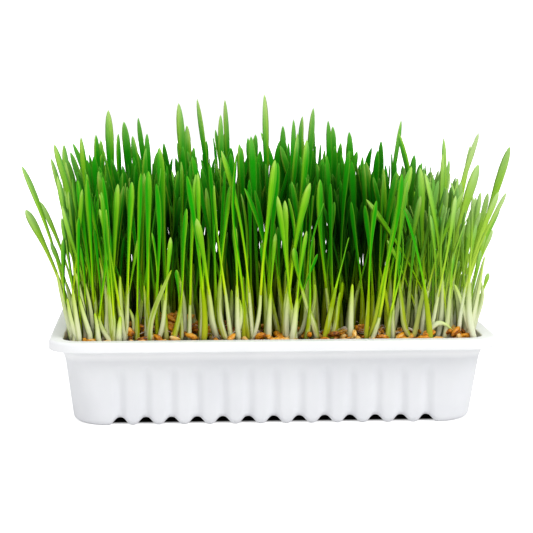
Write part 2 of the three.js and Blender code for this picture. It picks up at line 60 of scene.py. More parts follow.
RIM_LENGTH = 0.250
RIM_WIDTH = 0.160
TRAY_HEIGHT = 0.049
RIM_OVERHANG = 0.0084
RIM_ROUND = 0.0016
SKIRT_FOOT = 0.0433
SHEET = 0.001
DRAFT = 0.1
CORNER_RADIUS = 0.010
CORNER_SPREAD = 0.25
CORNER_STEPS = 14
FOOT_ROUND = 0.0034
COLLAR = 0.0008
COLLAR_FOOT = 0.0362
COLLAR_TOP = 0.0411
GROOVE_PITCH = 0.0143
LONG_GROOVES = 13
END_GROOVES = 6
GROOVE_WIDTH = 0.0027
GROOVE_DEPTH = 0.0019
GROOVE_ROUNDNESS = 2.2
GROOVE_FADE = (0.0265, 0.0345)
GROOVE_FADE_POWER = 0.6
CHANNEL_WIDTH = 0.0040
CHANNEL_HEIGHT = 0.0039
CHANNEL_ROUNDNESS = 3.0
CHANNEL_FADE = 0.012
FAR_FROM_GROOVES = 1.0
STEPS_PER_PITCH = 20
PITCHES_LEFT_PLAIN = 0.15
LOW_WALL = (0.0050, 0.0250)
GROOVE_TOPS = (0.0262, 0.0352)
INSIDE_BEND = 0.0060
RIM_TUCK = 0.0012
SKIRT_BEND = 0.0006
LIP = 0.0009


def wall_at(height):
    """Half length, half width and corner radius of the wall's outside at a height."""
    below = SKIRT_FOOT - height
    half_length = RIM_LENGTH / 2 - RIM_OVERHANG - DRAFT * below
    half_width = RIM_WIDTH / 2 - RIM_OVERHANG - DRAFT * below
    return half_length, half_width, CORNER_RADIUS + CORNER_SPREAD * below


def side_stations(grooves):
    """Places along a straight side where a ring has points, dense enough for the grooves."""
    reach = int((grooves / 2 - PITCHES_LEFT_PLAIN) * STEPS_PER_PITCH)
    return np.arange(-reach, reach + 1) * GROOVE_PITCH / STEPS_PER_PITCH


def ring_round(height, size, grow):
    """One ring round the tray, anticlockwise from above, with the wall's size at height size."""
    half_length, half_width, radius = wall_at(size)
    half_length, half_width, radius = half_length + grow, half_width + grow, radius + grow
    points = []
    for turn in range(4):
        is_long = turn % 2 == 0
        out = half_width if is_long else half_length
        flat = (half_length if is_long else half_width) - radius
        along = side_stations(LONG_GROOVES if is_long else END_GROOVES)
        along = np.concatenate([[-flat], along, [flat]])
        side = along + 1j * np.full(len(along), -out)
        sweep = (np.arange(1, CORNER_STEPS) / CORNER_STEPS - 1) * math.pi / 2
        corner = flat - 1j * (out - radius) + radius * np.exp(1j * sweep)
        points.append(np.concatenate([side, corner]) * 1j**turn)
    flat_ring = np.concatenate(points)
    return np.column_stack([flat_ring.real, flat_ring.imag, np.full(len(flat_ring), height)])


def side_lengths():
    """How many points of a ring lie on each side with the corner that follows it."""
    counts = []
    for grooves in (LONG_GROOVES, END_GROOVES, LONG_GROOVES, END_GROOVES):
        counts.append((len(side_stations(grooves)) + 2, CORNER_STEPS - 1))
    return counts


def arc(middle, radius, start, end, steps):
    """Points of a circle from one angle to another, in degrees."""
    angles = np.radians(np.linspace(start, end, steps))
    return [(middle[0] + radius * math.cos(a), middle[1] + radius * math.sin(a)) for a in angles]


def ease(share):
    """0 to 1 with a soft start and end."""
    share = np.clip(share, 0, 1)
    return share * share * (3 - 2 * share)


def straight(grow, start, end, rings):
    """Rings up or down a plain stretch of wall."""
    return [(grow, height, height) for height in np.linspace(start, end, rings)]


def collar(shares, grow):
    """Rings where the wall steps out to the smooth collar, at shares of the step."""
    rows = []
    for share in shares:
        height = COLLAR_FOOT + share * (COLLAR_TOP - COLLAR_FOOT)
        rows.append((COLLAR * float(ease(share)) + grow, height, height))
    return rows


def tray_profile():
    """The tray's section as (grow, height, size) from the middle of its underside round to the inside."""
    edge = RIM_OVERHANG
    under = TRAY_HEIGHT - SHEET
    heel = FOOT_ROUND - SHEET / 2
    foot = arc((-FOOT_ROUND, FOOT_ROUND), FOOT_ROUND, -90, 0, 7)
    rows = [(grow, height, height) for grow, height in foot]
    rows += straight(0, *LOW_WALL, 8)
    rows += straight(0, *GROOVE_TOPS, 12)
    rows += collar(np.linspace(0, 1, 8), 0)
    rim_bends = [
        ((COLLAR + RIM_TUCK, under - RIM_TUCK), RIM_TUCK, 180, 90, 5),
        ((edge - RIM_ROUND, under - SKIRT_BEND), SKIRT_BEND, 90, 0, 4),
        ((edge - SHEET / 2, SKIRT_FOOT + SHEET / 2), SHEET / 2, 180, 360, 8),
        ((edge - RIM_ROUND, TRAY_HEIGHT - RIM_ROUND), RIM_ROUND, 0, 90, 7),
        ((COLLAR + LIP / 2, TRAY_HEIGHT - LIP), LIP, 90, 180, 5),
    ]
    for bend in rim_bends:
        rows += [(grow, height, SKIRT_FOOT) for grow, height in arc(*bend)]
    rows += collar(np.linspace(1, 0, 6), -SHEET)
    rows += straight(-SHEET, *GROOVE_TOPS[::-1], 12)
    rows += straight(-SHEET, LOW_WALL[1], INSIDE_BEND, 6)
    rows += [(grow, height, height) for grow, height in arc((-SHEET - heel, SHEET + heel), heel, 0, -90, 6)]
    return rows


def grid_faces(rings, around):
    """Quads between rings of the same number of points, each ring closed on itself."""
    corner = np.arange(rings - 1)[:, None] * around + np.arange(around)[None, :]
    beside = np.arange(rings - 1)[:, None] * around + (np.arange(around)[None, :] + 1) % around
    return np.stack([corner, beside, beside + around, corner + around], axis=-1).reshape(-1, 4).tolist()


def floor_faces(first, faces_up):
    """Strips from the front side to the back side, and one face at each end."""
    counts = side_lengths()
    starts = np.cumsum([0] + [side + corner for side, corner in counts])
    front = list(range(starts[0], starts[0] + counts[0][0]))
    back = list(range(starts[2], starts[2] + counts[2][0]))[::-1]
    faces = [[a, b, d, c] for a, b, c, d in zip(front, front[1:], back, back[1:])]
    faces.append(list(range(front[-1], back[-1] + 1)))
    faces.append(list(range(back[0], starts[4])) + [0])
    if not faces_up:
        faces = [face[::-1] for face in faces]
    return [[first + point for point in face] for face in faces]


def mesh_object(name, points, faces, numbers=None, vectors=None):
    """An object of a plain mesh, with named number and vector attributes on its points."""
    mesh = bpy.data.meshes.new(name)
    mesh.from_pydata([tuple(point) for point in points], [], faces)
    for label, values in (numbers or {}).items():
        mesh.attributes.new(label, "FLOAT", "POINT").data.foreach_set("value", np.asarray(values, float))
    for label, values in (vectors or {}).items():
        flat = np.asarray(values, float).ravel()
        mesh.attributes.new(label, "FLOAT_VECTOR", "POINT").data.foreach_set("vector", flat)
    mesh.update()
    made = bpy.data.objects.new(name, mesh)
    bpy.context.scene.collection.objects.link(made)
    return made


def new_tree(name, objects, numbers):
    """A geometry node tree that takes a geometry, the named objects and numbers, and a finish."""
    tree = bpy.data.node_groups.new(name, "GeometryNodeTree")
    sockets = [("Geometry", "Geometry")] + [(label, "Object") for label in objects]
    sockets += [(label, "Float") for label in numbers] + [("Finish", "Material")]
    for label, kind in sockets:
        tree.interface.new_socket(label, in_out="INPUT", socket_type="NodeSocket" + kind)
    tree.interface.new_socket("Geometry", in_out="OUTPUT", socket_type="NodeSocketGeometry")
    return tree, tree.nodes.new("NodeGroupInput"), tree.nodes.new("NodeGroupOutput")


def feed(tree, socket, value):
    """Links a socket to another one, or sets it to a value. None leaves it alone."""
    if isinstance(value, bpy.types.NodeSocket):
        tree.links.new(value, socket)
    elif value is not None:
        socket.default_value = value


def add_node(tree, kind, *values, **settings):
    """A node with its settings, and its inputs fed in order."""
    made = tree.nodes.new(kind)
    for label, value in settings.items():
        setattr(made, label, value)
    for socket, value in zip(made.inputs, values):
        feed(tree, socket, value)
    return made


def maths(tree, operation, *values):
    return add_node(tree, "ShaderNodeMath", *values, operation=operation).outputs[0]


def plus(tree, first, second):
    return maths(tree, "ADD", first, second)


def minus(tree, first, second):
    return maths(tree, "SUBTRACT", first, second)


def times(tree, first, *others):
    """All the values multiplied."""
    for other in others:
        first = maths(tree, "MULTIPLY", first, other)
    return first


def ranged(tree, value, *limits):
    """A value brought to 0 to 1, or to other limits, and held there."""
    return add_node(tree, "ShaderNodeMapRange", value, *limits).outputs[0]


def vectors(tree, operation, *values):
    made = add_node(tree, "ShaderNodeVectorMath", *values, operation=operation)
    return made.outputs["Value" if operation in ("DOT_PRODUCT", "LENGTH") else "Vector"]


def scaled(tree, vector, number):
    made = add_node(tree, "ShaderNodeVectorMath", vector, operation="SCALE")
    feed(tree, made.inputs["Scale"], number)
    return made.outputs["Vector"]


def combined(tree, x, y, z):
    return add_node(tree, "ShaderNodeCombineXYZ", x, y, z).outputs[0]


def stored(tree, name, kind="FLOAT"):
    """The value of a named attribute in a geometry node tree."""
    return add_node(tree, "GeometryNodeInputNamedAttribute", name, data_type=kind).outputs["Attribute"]


def end_tree(tree, tree_in, tree_out, geometry):
    """Ends a tree in real geometry that wears its finish."""
    realized = add_node(tree, "GeometryNodeRealizeInstances", geometry)
    finished = add_node(tree, "GeometryNodeSetMaterial", realized.outputs[0], None, tree_in.outputs["Finish"])
    tree.links.new(finished.outputs[0], tree_out.inputs["Geometry"])


def run_tree(piece, tree, settings):
    """Puts a tree on a piece with the inputs named, and turns the result into a plain mesh."""
    modifier = piece.modifiers.new(tree.name, "NODES")
    modifier.node_group = tree
    for socket in tree.interface.items_tree:
        if socket.name in settings:
            modifier[socket.identifier] = settings[socket.name]
    now = bpy.context.evaluated_depsgraph_get()
    result = bpy.data.meshes.new_from_object(piece.evaluated_get(now))
    piece.modifiers.clear()
    piece.data = result
    piece.data.shade_smooth()
    return piece


def new_material(name, **settings):
    """A material with one shader, and the shader's plain values set on its own sockets."""
    made = bpy.data.materials.new(name)
    made.use_nodes = True
    shader = made.node_tree.nodes["Principled BSDF"]
    for label, value in settings.items():
        shader.inputs[label.replace("_", " ").title().replace("Ior", "IOR")].default_value = value
    return made, made.node_tree, shader


def colour(code):
    """The linear colour of a hex code."""
    parts = [int(code[i : i + 2], 16) / 255 for i in (0, 2, 4)]
    linear = [part / 12.92 if part <= 0.04045 else ((part + 0.055) / 1.055) ** 2.4 for part in parts]
    return (*linear, 1)


def ramp(tree, amount, stops):
    """A colour ramp over an amount, with (place, hex code) stops."""
    made = add_node(tree, "ShaderNodeValToRGB", amount)
    while len(made.color_ramp.elements) < len(stops):
        made.color_ramp.elements.new(0.5)
    for element, (place, code) in zip(made.color_ramp.elements, stops):
        element.position = place
        element.color = colour(code)
    return made.outputs["Color"]


def mixed(tree, amount, first, second):
    """One colour, then another, by an amount from 0 to 1."""
    made = add_node(tree, "ShaderNodeMix", data_type="RGBA")
    for label, value in (("Factor", amount), ("A", first), ("B", second)):
        feed(tree, made.inputs[label], colour(value) if isinstance(value, str) else value)
    return made.outputs["Result"]


def speckle(tree, place, scale, detail=2):
    """A random pattern over a place, from 0 to 1; detail is how fine it gets."""
    made = add_node(tree, "ShaderNodeTexNoise", place)
    made.inputs["Scale"].default_value = scale
    made.inputs["Detail"].default_value = detail
    return made.outputs["Fac"]


def object_place(tree):
    """The place on the object itself, in metres."""
    return tree.nodes.new("ShaderNodeTexCoord").outputs["Object"]


def dress(tree, shader, shade, relief=None, distance=0, strength=1):
    """Gives a shader its colour, and raises its surface a little by a pattern."""
    tree.links.new(shade, shader.inputs["Base Color"])
    if relief is not None:
        bump = tree.nodes.new("ShaderNodeBump")
        bump.inputs["Distance"].default_value = distance
        bump.inputs["Strength"].default_value = strength
        tree.links.new(relief, bump.inputs["Height"])
        tree.links.new(bump.outputs["Normal"], shader.inputs["Normal"])


# The plastic: near white and faintly cloudy. Below the collar it is a little greyer and the rim whiter:
# partly the thin drawn sheet over dark soil, partly painted shade under the rim's overhang.
GREYER_FROM = SKIRT_FOOT - 0.0036
GREYER_UNDER = SKIRT_FOOT - 0.0062

plastic, plastic_tree, plastic_shader = new_material("white_plastic", roughness=0.45, specular_ior_level=0.3)
place = object_place(plastic_tree)
height = add_node(plastic_tree, "ShaderNodeSeparateXYZ", place).outputs["Z"]
# partly painted shade under the rim, partly the thin sheet: 0 on the rim and upper collar, 1 on the wall
# below
thin_and_shaded = ranged(plastic_tree, height, GREYER_FROM, GREYER_UNDER)
cloud = speckle(plastic_tree, place, scale=45, detail=4)
thick_white = ramp(plastic_tree, cloud, [(0.3, "F3F4F6"), (0.7, "F8F8FA")])
thin_shaded_white = ramp(plastic_tree, cloud, [(0.3, "E5E6EA"), (0.7, "EAEBEE")])
white = mixed(plastic_tree, thin_and_shaded, thick_white, thin_shaded_white)
ripple = speckle(plastic_tree, place, scale=260)
dress(plastic_tree, plastic_shader, white, ripple, distance=0.00008, strength=0.25)

# The flutes: a tree that presses each groove in, and lifts the underside into channels.
flute_sizes = ("Pitch", "Groove Width", "Groove Depth", "Channel Width", "Channel Height")
flutes, flutes_in, flutes_out = new_tree("press_flutes", [], flute_sizes)
pitch = flutes_in.outputs["Pitch"]
along = stored(flutes, "along")
last = stored(flutes, "last_groove")
nearest = maths(flutes, "ROUND", maths(flutes, "DIVIDE", along, pitch))
nearest = maths(flutes, "MINIMUM", nearest, last)
nearest = maths(flutes, "MAXIMUM", nearest, times(flutes, last, -1.0))
aside = maths(flutes, "ABSOLUTE", minus(flutes, along, times(flutes, nearest, pitch)))


def pressed_by(width, roundness, share, most):
    """How far a groove of some width moves a point: a smooth hump, times the point's own share."""
    widths_away = maths(flutes, "DIVIDE", aside, width)
    hump = maths(flutes, "EXPONENT", times(flutes, maths(flutes, "POWER", widths_away, roundness), -1.0))
    return times(flutes, hump, stored(flutes, share), most)


groove_width, groove_depth = flutes_in.outputs["Groove Width"], flutes_in.outputs["Groove Depth"]
channel_width, channel_height = flutes_in.outputs["Channel Width"], flutes_in.outputs["Channel Height"]
inwards = pressed_by(groove_width, GROOVE_ROUNDNESS, "press", groove_depth)
upwards = pressed_by(channel_width, CHANNEL_ROUNDNESS, "lift", channel_height)
pushed_in = scaled(flutes, stored(flutes, "inward", "FLOAT_VECTOR"), inwards)
moved = vectors(flutes, "ADD", pushed_in, combined(flutes, 0.0, 0.0, upwards))
pressed = add_node(flutes, "GeometryNodeSetPosition", flutes_in.outputs["Geometry"], None, None, moved)
end_tree(flutes, flutes_in, flutes_out, pressed.outputs[0])

profile = tray_profile()
around = sum(side + corner for side, corner in side_lengths())
tray_points = np.concatenate([ring_round(height, size, grow) for grow, height, size in profile])
ring_along, ring_last, ring_inward, ring_is_long = [], [], [], []
for turn, (side, corner) in enumerate(side_lengths()):
    grooves = LONG_GROOVES if turn % 2 == 0 else END_GROOVES
    stations = side_stations(grooves)
    ring_along += [FAR_FROM_GROOVES] + list(stations) + [FAR_FROM_GROOVES] * (1 + corner)
    ring_last += [(grooves - 1) / 2] * (side + corner)
    inward = 1j * 1j**turn
    ring_inward += [(inward.real, inward.imag, 0)] * (side + corner)
    ring_is_long += [turn % 2 == 0] * (side + corner)
heights = np.repeat([height for _, height, _ in profile], around)
is_wall = np.repeat([grow <= 0 for grow, _, _ in profile], around)
fade = ease((GROOVE_FADE[1] - heights) / (GROOVE_FADE[1] - GROOVE_FADE[0])) ** GROOVE_FADE_POWER
rise = (1 - ease(heights / CHANNEL_FADE)) * np.tile(ring_is_long, len(profile))
tray_faces = grid_faces(len(profile), around)
tray_faces += floor_faces(0, False)
tray_faces += floor_faces((len(profile) - 1) * around, True)
tray = mesh_object("fluted_tray", tray_points, tray_faces, {
    "along": np.tile(ring_along, len(profile)),
    "last_groove": np.tile(ring_last, len(profile)),
    "press": fade * is_wall,
    "lift": rise,
}, {"inward": np.tile(ring_inward, (len(profile), 1))})
sizes = (GROOVE_PITCH, GROOVE_WIDTH, GROOVE_DEPTH, CHANNEL_WIDTH, CHANNEL_HEIGHT)
run_tree(tray, flutes, {**dict(zip(flute_sizes, sizes)), "Finish": plastic})
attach(tray, "root")
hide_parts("tray")


# ---------------------------------------------------------------- soil
# The tray is filled with dark, crumbly potting soil, pressed down to just under the rim. It fills the
# flutes above the floor, and its top is uneven where roots have lifted it.

SOIL_TOP = 0.0448
SOIL_ROUGHNESS = 0.0011
SOIL_RINGS = 46
BED_MARGIN = 0.0013
CLEAR_OF_GROOVES = 0.0040
SOIL_FOOT = 0.0052
SOIL_SIDES = (0.0086, 0.0290)
ABOVE_GROOVES = 0.0356
SOIL_EDGE = 0.0006
LUMPS_PER_METRE = 170
CALM_AT_THE_EDGE = 12

soil_rows = [(-CLEAR_OF_GROOVES - FOOT_ROUND, SOIL_FOOT, SOIL_FOOT)]
soil_rows += [(-CLEAR_OF_GROOVES, height, height) for height in SOIL_SIDES]
soil_rows += [(-BED_MARGIN, ABOVE_GROOVES, ABOVE_GROOVES), (-BED_MARGIN, SOIL_TOP - SOIL_EDGE, SKIRT_FOOT)]
soil_points = [ring_round(height, size, grow) for grow, height, size in soil_rows]
for share in np.linspace(1, 0.02, SOIL_RINGS):
    ring = ring_round(SOIL_TOP, SKIRT_FOOT, -BED_MARGIN) * (share, share, 1)
    for point in ring:
        lump = noise.fractal(Vector(point) * LUMPS_PER_METRE, 1.0, 2.0, 4)
        point[2] += SOIL_ROUGHNESS * lump * min(1, CALM_AT_THE_EDGE * (1 - share))
    soil_points.append(ring)
soil_rings = len(soil_points)
soil_faces = grid_faces(soil_rings, around)
soil_faces.append(list(range(around))[::-1])
soil_faces.append([(soil_rings - 1) * around + i for i in range(around)])
soil = mesh_object("potting_soil", np.concatenate(soil_points), soil_faces)

earth, earth_tree, earth_shader = new_material("potting_soil", roughness=0.95)
clods = speckle(earth_tree, object_place(earth_tree), scale=420, detail=6)
earth_colour = ramp(earth_tree, clods, [(0.3, "060302"), (0.55, "1A0E06"), (0.8, "3C2411")])
dress(earth_tree, earth_shader, earth_colour, clods, distance=0.0006)
soil.data.materials.append(earth)
soil.data.shade_smooth()
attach(soil, "root")
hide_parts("soil")


# ---------------------------------------------------------------- where the seedlings stand
# The grain was sown in nine close rows that wander along the tray, and the sward fans out at its edges.
# One seeded draw gives each seedling its foot, tip, width and bend, and a second one thickens the sward.

BED_LENGTH, BED_WIDTH, BED_RADIUS = (size - BED_MARGIN for size in wall_at(SKIRT_FOOT))
ROWS = 9
ROW_WIDTH = 0.008
EDGE_STRIP_WIDTH = 0.0046
STRIP_GAP = 0.0003
ROW_PITCH = (2 * (BED_WIDTH - EDGE_STRIP_WIDTH - STRIP_GAP) - ROW_WIDTH) / (ROWS - 1)
MEANDER = 0.0026
MEANDER_LENGTH = 0.017
MEANDER_START = 0.6
SOWN = 340
SOWING_SEED = 20
CLEARANCE = 0.00035
EDGE_GAP = 0.0022
FOOT_LEVEL = 0.0463
MAT_LEVEL = 0.0453
STANDING = 0.045
CANOPY = 0.151
CANOPY_SLOPE = 1 / 40

# The sward's top swells along the tray (height, length, start) and at a slant (height, length, width), and
# falls towards the ends and the long sides.
LONG_SWELL = (0.005, 0.023, 1.1)
SHORT_SWELL = (0.004, 0.011, 0.019)
CANOPY_FALL = (0.012, 0.008)

FULL_GROWTH = 0.105
LATE_SPREAD = 0.045
LEAST_FAN = 0.3
WIDTH_SPREAD = 0.001
STANDOUT_TURN = 0.35

# How the drawn seedlings grow. Each pair is a start and what is added to it, but fan_out and scatter are
# along and across the tray: how far seedlings lean outwards at its edges, and at random.
SOWN_HABIT = {
    "late_share": 0.22,
    "late_height": 0.028,
    "reach": (0.7, 0.36),
    "fan_out": (0.2, 0.14),
    "scatter": (0.22, 0.1),
    "width": (0.0016, 0.0019),
    "bend": (-0.2, 0.9),
    "turn": 1.5,
}

# A stem is taken as four straight stretches, as thick as the sheath at first and then as the leaf.
STRETCHES = (0, 0.27, 0.6, 0.9, 1.0)
SHEATH_WIDTHS = (0.0029, 0.0023)
HALF_OPEN = 0.66

# Blades that stand out of the sward, in millimetres: the foot's place along the tray and its row, the tip,
# the blade's width, and its bend, 0 for a straight stem and 1 for one that falls away towards its tip.
STANDOUTS = [
    ((-113, 1), (-140, -50, 144), 3.4, 0.5),
    ((-113, 2), (-139, -33, 118), 4.8, 0.5),
    ((-112, 3), (-132, -16, 121), 3, 1),
    ((-109, 1), (-124, -49, 101), 2.8, 0.5),
    ((-109, 5), (-128, 17, 144), 3.2, 0.5),
    ((-103, 1), (-121, -50, 156), 4.6, 1),
    ((-111, 4), (-119, 0, 153), 4, 0.2),
    ((-93, 5), (-115, 17, 153), 3.4, 1),
    ((-100, 3), (-108, -18, 158), 4.2, 0.4),
    ((-98, 6), (-102, 34, 157), 4, 0.2),
    ((-91, 4), (-93, 0, 173), 5, 0.1),
    ((-85, 7), (-89, 50, 157), 3.4, 0.3),
    ((-82, 6), (-85, 33, 165), 5, 0.3),
    ((-72, 4), (-79, 0, 158), 4.2, 0.3),
    ((-66, 5), (-76, 16, 168), 3.6, 0.5),
    ((-65, 2), (-70, -33, 161), 4.2, 0.2),
    ((-58, 1), (-63, -50, 154), 5, 0.2),
    ((-45, 4), (-52, 1, 177), 4.8, 0.4),
    ((-42, 7), (-47, 50, 162), 4.4, 0.3),
    ((-28, 5), (-41, 16, 179), 3.2, 0.4),
    ((-27, 3), (-28, -17, 171), 3.4, 0.1),
    ((-20, 6), (-24, 33, 178), 3.4, 0.5),
    ((-13, 2), (-18, -33, 155), 4.4, 0.2),
    ((-7, 1), (-12, -49, 160), 4.4, 0.2),
    ((1, 4), (-2, 0, 182), 4.8, 0.2),
    ((10, 5), (10, 16, 163), 4, 0.3),
    ((11, 3), (14, -17, 168), 3.8, 0.3),
    ((18, 6), (23, 33, 168), 3.8, 0.3),
    ((22, 4), (27, 1, 174), 3.8, 0.5),
    ((40, 5), (37, 16, 166), 3.6, 0.2),
    ((44, 7), (43, 50, 161), 4.2, 0.2),
    ((52, 4), (48, 0, 160), 4.2, 0.3),
    ((43, 1), (52, -50, 152), 4.2, 0.3),
    ((58, 3), (63, -17, 150), 3.8, 0.2),
    ((72, 6), (71, 33, 153), 3.8, 0.2),
    ((91, 3), (75, -17, 160), 3.2, 1),
    ((70, 5), (81, 17, 166), 3.4, 1),
    ((88, 1), (83, -49, 142), 4.8, 0.3),
    ((92, 2), (93, -33, 136), 3.2, 0.2),
    ((98, 3), (101, -17, 148), 3.4, 0.1),
    ((110, 4), (104, 0, 156), 3.4, 0.5),
    ((111, 5), (115, 17, 130), 3, 0.2),
    ((112, 6), (126, 34, 150), 3, 0.4),
    ((106, 5), (128, 18, 158), 3.8, 0.6),
    ((98, 1), (116, -50, 144), 5.4, 1),
    ((107, 2), (125, -34, 129), 5, 1),
    ((109, 3), (141, -17, 152), 4.8, -0.1),
    ((112, 4), (130, 0, 112), 3, 0.4),
    ((111, 2), (128, -32, 105), 2.8, 0.3),
    ((111, 1), (123, -48, 82), 2.6, -0.2),
    ((26, 0), (11, -65, 99), 3.6, -0.3),
    ((-34, 0), (-43, -90, 118), 4.2, 0.7),
    ((95, 1), (52, -56, 125), 3.4, 0.5),
    ((86, 1), (64, -55, 102), 2.4, 0.4),
    ((29, 1), (35, -48, 123), 2.8, 0.4),
    ((5, 1), (3, -48, 109), 3, 0.3),
    ((1, 1), (-10, -50, 130), 2.8, 0.6),
    ((-11, 1), (-13, -50, 136), 2.8, 0.2),
    ((-87, 1), (-83, -48, 104), 2.4, 0.6),
    ((-112, 0), (-105, -65, 132), 3.4, 0.8),
    ((-104, 0), (-107, -63, 101), 2.4, 0.3),
    ((-94, 0), (-99, -63, 110), 2.4, 0.3),
    ((-87, 0), (-94, -65, 139), 3, 0.6),
    ((-82, 0), (-78, -65, 136), 3.9, 0.5),
    ((-76, 0), (-73, -65, 141), 2.8, 0.5),
    ((-70, 0), (-69, -65, 142), 4.4, 0.3),
    ((-51, 0), (-54, -63, 87), 2.6, 0.5),
    ((-47, 0), (-43, -65, 140), 3.9, 0.7),
    ((-39, 0), (-42, -65, 141), 2.8, 0.2),
    ((-30, 0), (-24, -65, 134), 2.9, 1),
    ((-20, 0), (-22, -63, 112), 2.8, 0.3),
    ((-12, 0), (-29, -65, 153), 3, 0.9),
    ((-3, 0), (1, -63, 107), 2.5, 0.5),
    ((6, 0), (20, -65, 135), 4.4, 0.6),
    ((32, 0), (37, -63, 74), 2.5, 0),
    ((43, 0), (46, -63, 117), 2.8, 0.4),
    ((52, 0), (57, -63, 125), 2.8, 0.4),
    ((59, 0), (76, -65, 144), 5.2, 0.7),
    ((66, 0), (74, -65, 136), 3.4, 0.6),
    ((73, 0), (70, -63, 97), 2.4, 0.3),
    ((79, 0), (85, -63, 81), 2.6, 0),
    ((88, 0), (100, -70, 128), 3, 0.1),
    ((99, 0), (84, -61, 140), 3.2, 0.3),
    ((112, 0), (101, -63, 78), 2, 0.5),
    ((-20, 8), (-12, 90, 124), 4.2, 0.7),
]


def random_from(seed):
    """A repeatable random number maker, 0 to 1."""
    state = seed
    whole = 0xFFFFFFFF

    def draw():
        nonlocal state
        state = (state + 0x6D2B79F5) & whole
        mixed = ((state ^ (state >> 15)) * (state | 1)) & whole
        mixed ^= (mixed + (mixed ^ (mixed >> 7)) * (mixed | 61)) & whole
        return (mixed ^ (mixed >> 14)) / 2**32

    return draw


def near_zero(draw):
    """A random number from -1 to 1 that is most often near 0."""
    return draw() + draw() - 1


def drawn(pair, draw):
    """A random number: a pair's start, with up to its second number added."""
    return pair[0] + pair[1] * draw()


def row_middle(row):
    return (row - (ROWS - 1) / 2) * ROW_PITCH


def meander(x, y):
    """Where a point of a straight line lies once the rows wander."""
    calm = 1 - (y / BED_WIDTH) ** 2
    return y + MEANDER * calm * math.sin(x / MEANDER_LENGTH + MEANDER_START)


def reach_at(y):
    """How far a line reaches along the tray before it meets the rounded corner."""
    into_corner = min(max(abs(y) - (BED_WIDTH - BED_RADIUS), 0), BED_RADIUS)
    return BED_LENGTH - BED_RADIUS + math.sqrt(BED_RADIUS**2 - into_corner**2)


def canopy_at(x, y):
    """The height that the taller seedlings reach over a place."""
    high, length, start = LONG_SWELL
    swell = high * math.sin(x / length + start)
    high, length, width = SHORT_SWELL
    swell += high * math.sin(x / length - y / width)
    fall = CANOPY_FALL[0] * abs(x / BED_LENGTH) ** 3 + CANOPY_FALL[1] * abs(y / BED_WIDTH) ** 3
    return CANOPY - CANOPY_SLOPE * x + swell - fall


def drawn_height(x, y, habit, draw):
    """A seedling's height: late ones are short, and the others reach for the canopy."""
    is_late = draw() < habit["late_share"]
    low, more = habit["reach"]
    full_height = (canopy_at(x, y) - STANDING) * (low + more * math.sqrt(draw()))
    return habit["late_height"] + LATE_SPREAD * draw() if is_late else full_height


def drawn_tip(x, y, height, habit, draw):
    """Where a seedling's tip is: it leans outwards near the tray's edges, and a little at random."""
    tip = []
    ways = zip((x, y), (BED_LENGTH, BED_WIDTH), habit["fan_out"], habit["scatter"])
    for place, half, fan_out, scatter in ways:
        lean = fan_out * (place / half) ** 3 * (LEAST_FAN + draw()) + scatter * near_zero(draw)
        tip.append(place + lean * height)
    return np.array(tip + [STANDING + height])


def drawn_seedling(x, y, row, tip, habit, draw):
    """A seedling with its width, bend and turn drawn: taller ones have wider leaves."""
    slim, broader = habit["width"]
    growth = (tip[2] - STANDING) / FULL_GROWTH
    return {
        "row": row,
        "foot": np.array([x, y, FOOT_LEVEL]),
        "tip": tip,
        "width": slim + broader * growth**2 + WIDTH_SPREAD * draw(),
        "bend": drawn(habit["bend"], draw),
        "turn": habit["turn"] * near_zero(draw),
    }


def sown_in_row(row, draw):
    """A seedling drawn at random in a row."""
    reach = reach_at(abs(row_middle(row)) + ROW_WIDTH / 2) - EDGE_GAP
    x = reach * (2 * draw() - 1)
    y = meander(x, row_middle(row)) + (2 * draw() - 1) * (ROW_WIDTH / 2 - EDGE_GAP)
    height = drawn_height(x, y, SOWN_HABIT, draw)
    return drawn_seedling(x, y, row, drawn_tip(x, y, height, SOWN_HABIT, draw), SOWN_HABIT, draw)


def stretches(seedling):
    """A seedling's stretches: their starts, ends and radii."""
    share = np.array(STRETCHES)
    across = (1 - seedling["bend"]) * share + seedling["bend"] * share**2
    across[-1] = 1.0
    span = seedling["tip"] - seedling["foot"]
    points = seedling["foot"] + np.stack([across * span[0], across * span[1], share * span[2]], axis=1)
    widths = np.array([*SHEATH_WIDTHS, HALF_OPEN * seedling["width"], seedling["width"], 0])
    return points[:-1], points[1:], np.maximum(widths[:-1], widths[1:]) / 2


def stands_clear(mine, others):
    """True if a seedling's stretches keep a clearance from all others."""
    least_slant = 1e-21
    starts, ends, radii = others
    along_b = ends - starts
    bb = (along_b**2).sum(1)
    for start, end, radius in zip(*mine):
        along_a = end - start
        apart = start - starts
        aa = along_a @ along_a
        ab = along_b @ along_a
        ad = apart @ along_a
        bd = (along_b * apart).sum(1)
        slant = aa * bb - ab * ab
        nearest = np.clip((ab * bd - ad * bb) / np.maximum(slant, least_slant), 0, 1)
        share_a = np.where(slant > least_slant, nearest, 0)
        share_b = np.clip((ab * share_a + bd) / bb, 0, 1)
        share_a = np.clip((ab * share_b - ad) / aa, 0, 1)
        gap = apart + share_a[:, None] * along_a - share_b[:, None] * along_b
        if (np.sqrt((gap**2).sum(1)) <= radius + radii + CLEARANCE).any():
            return False
    return True


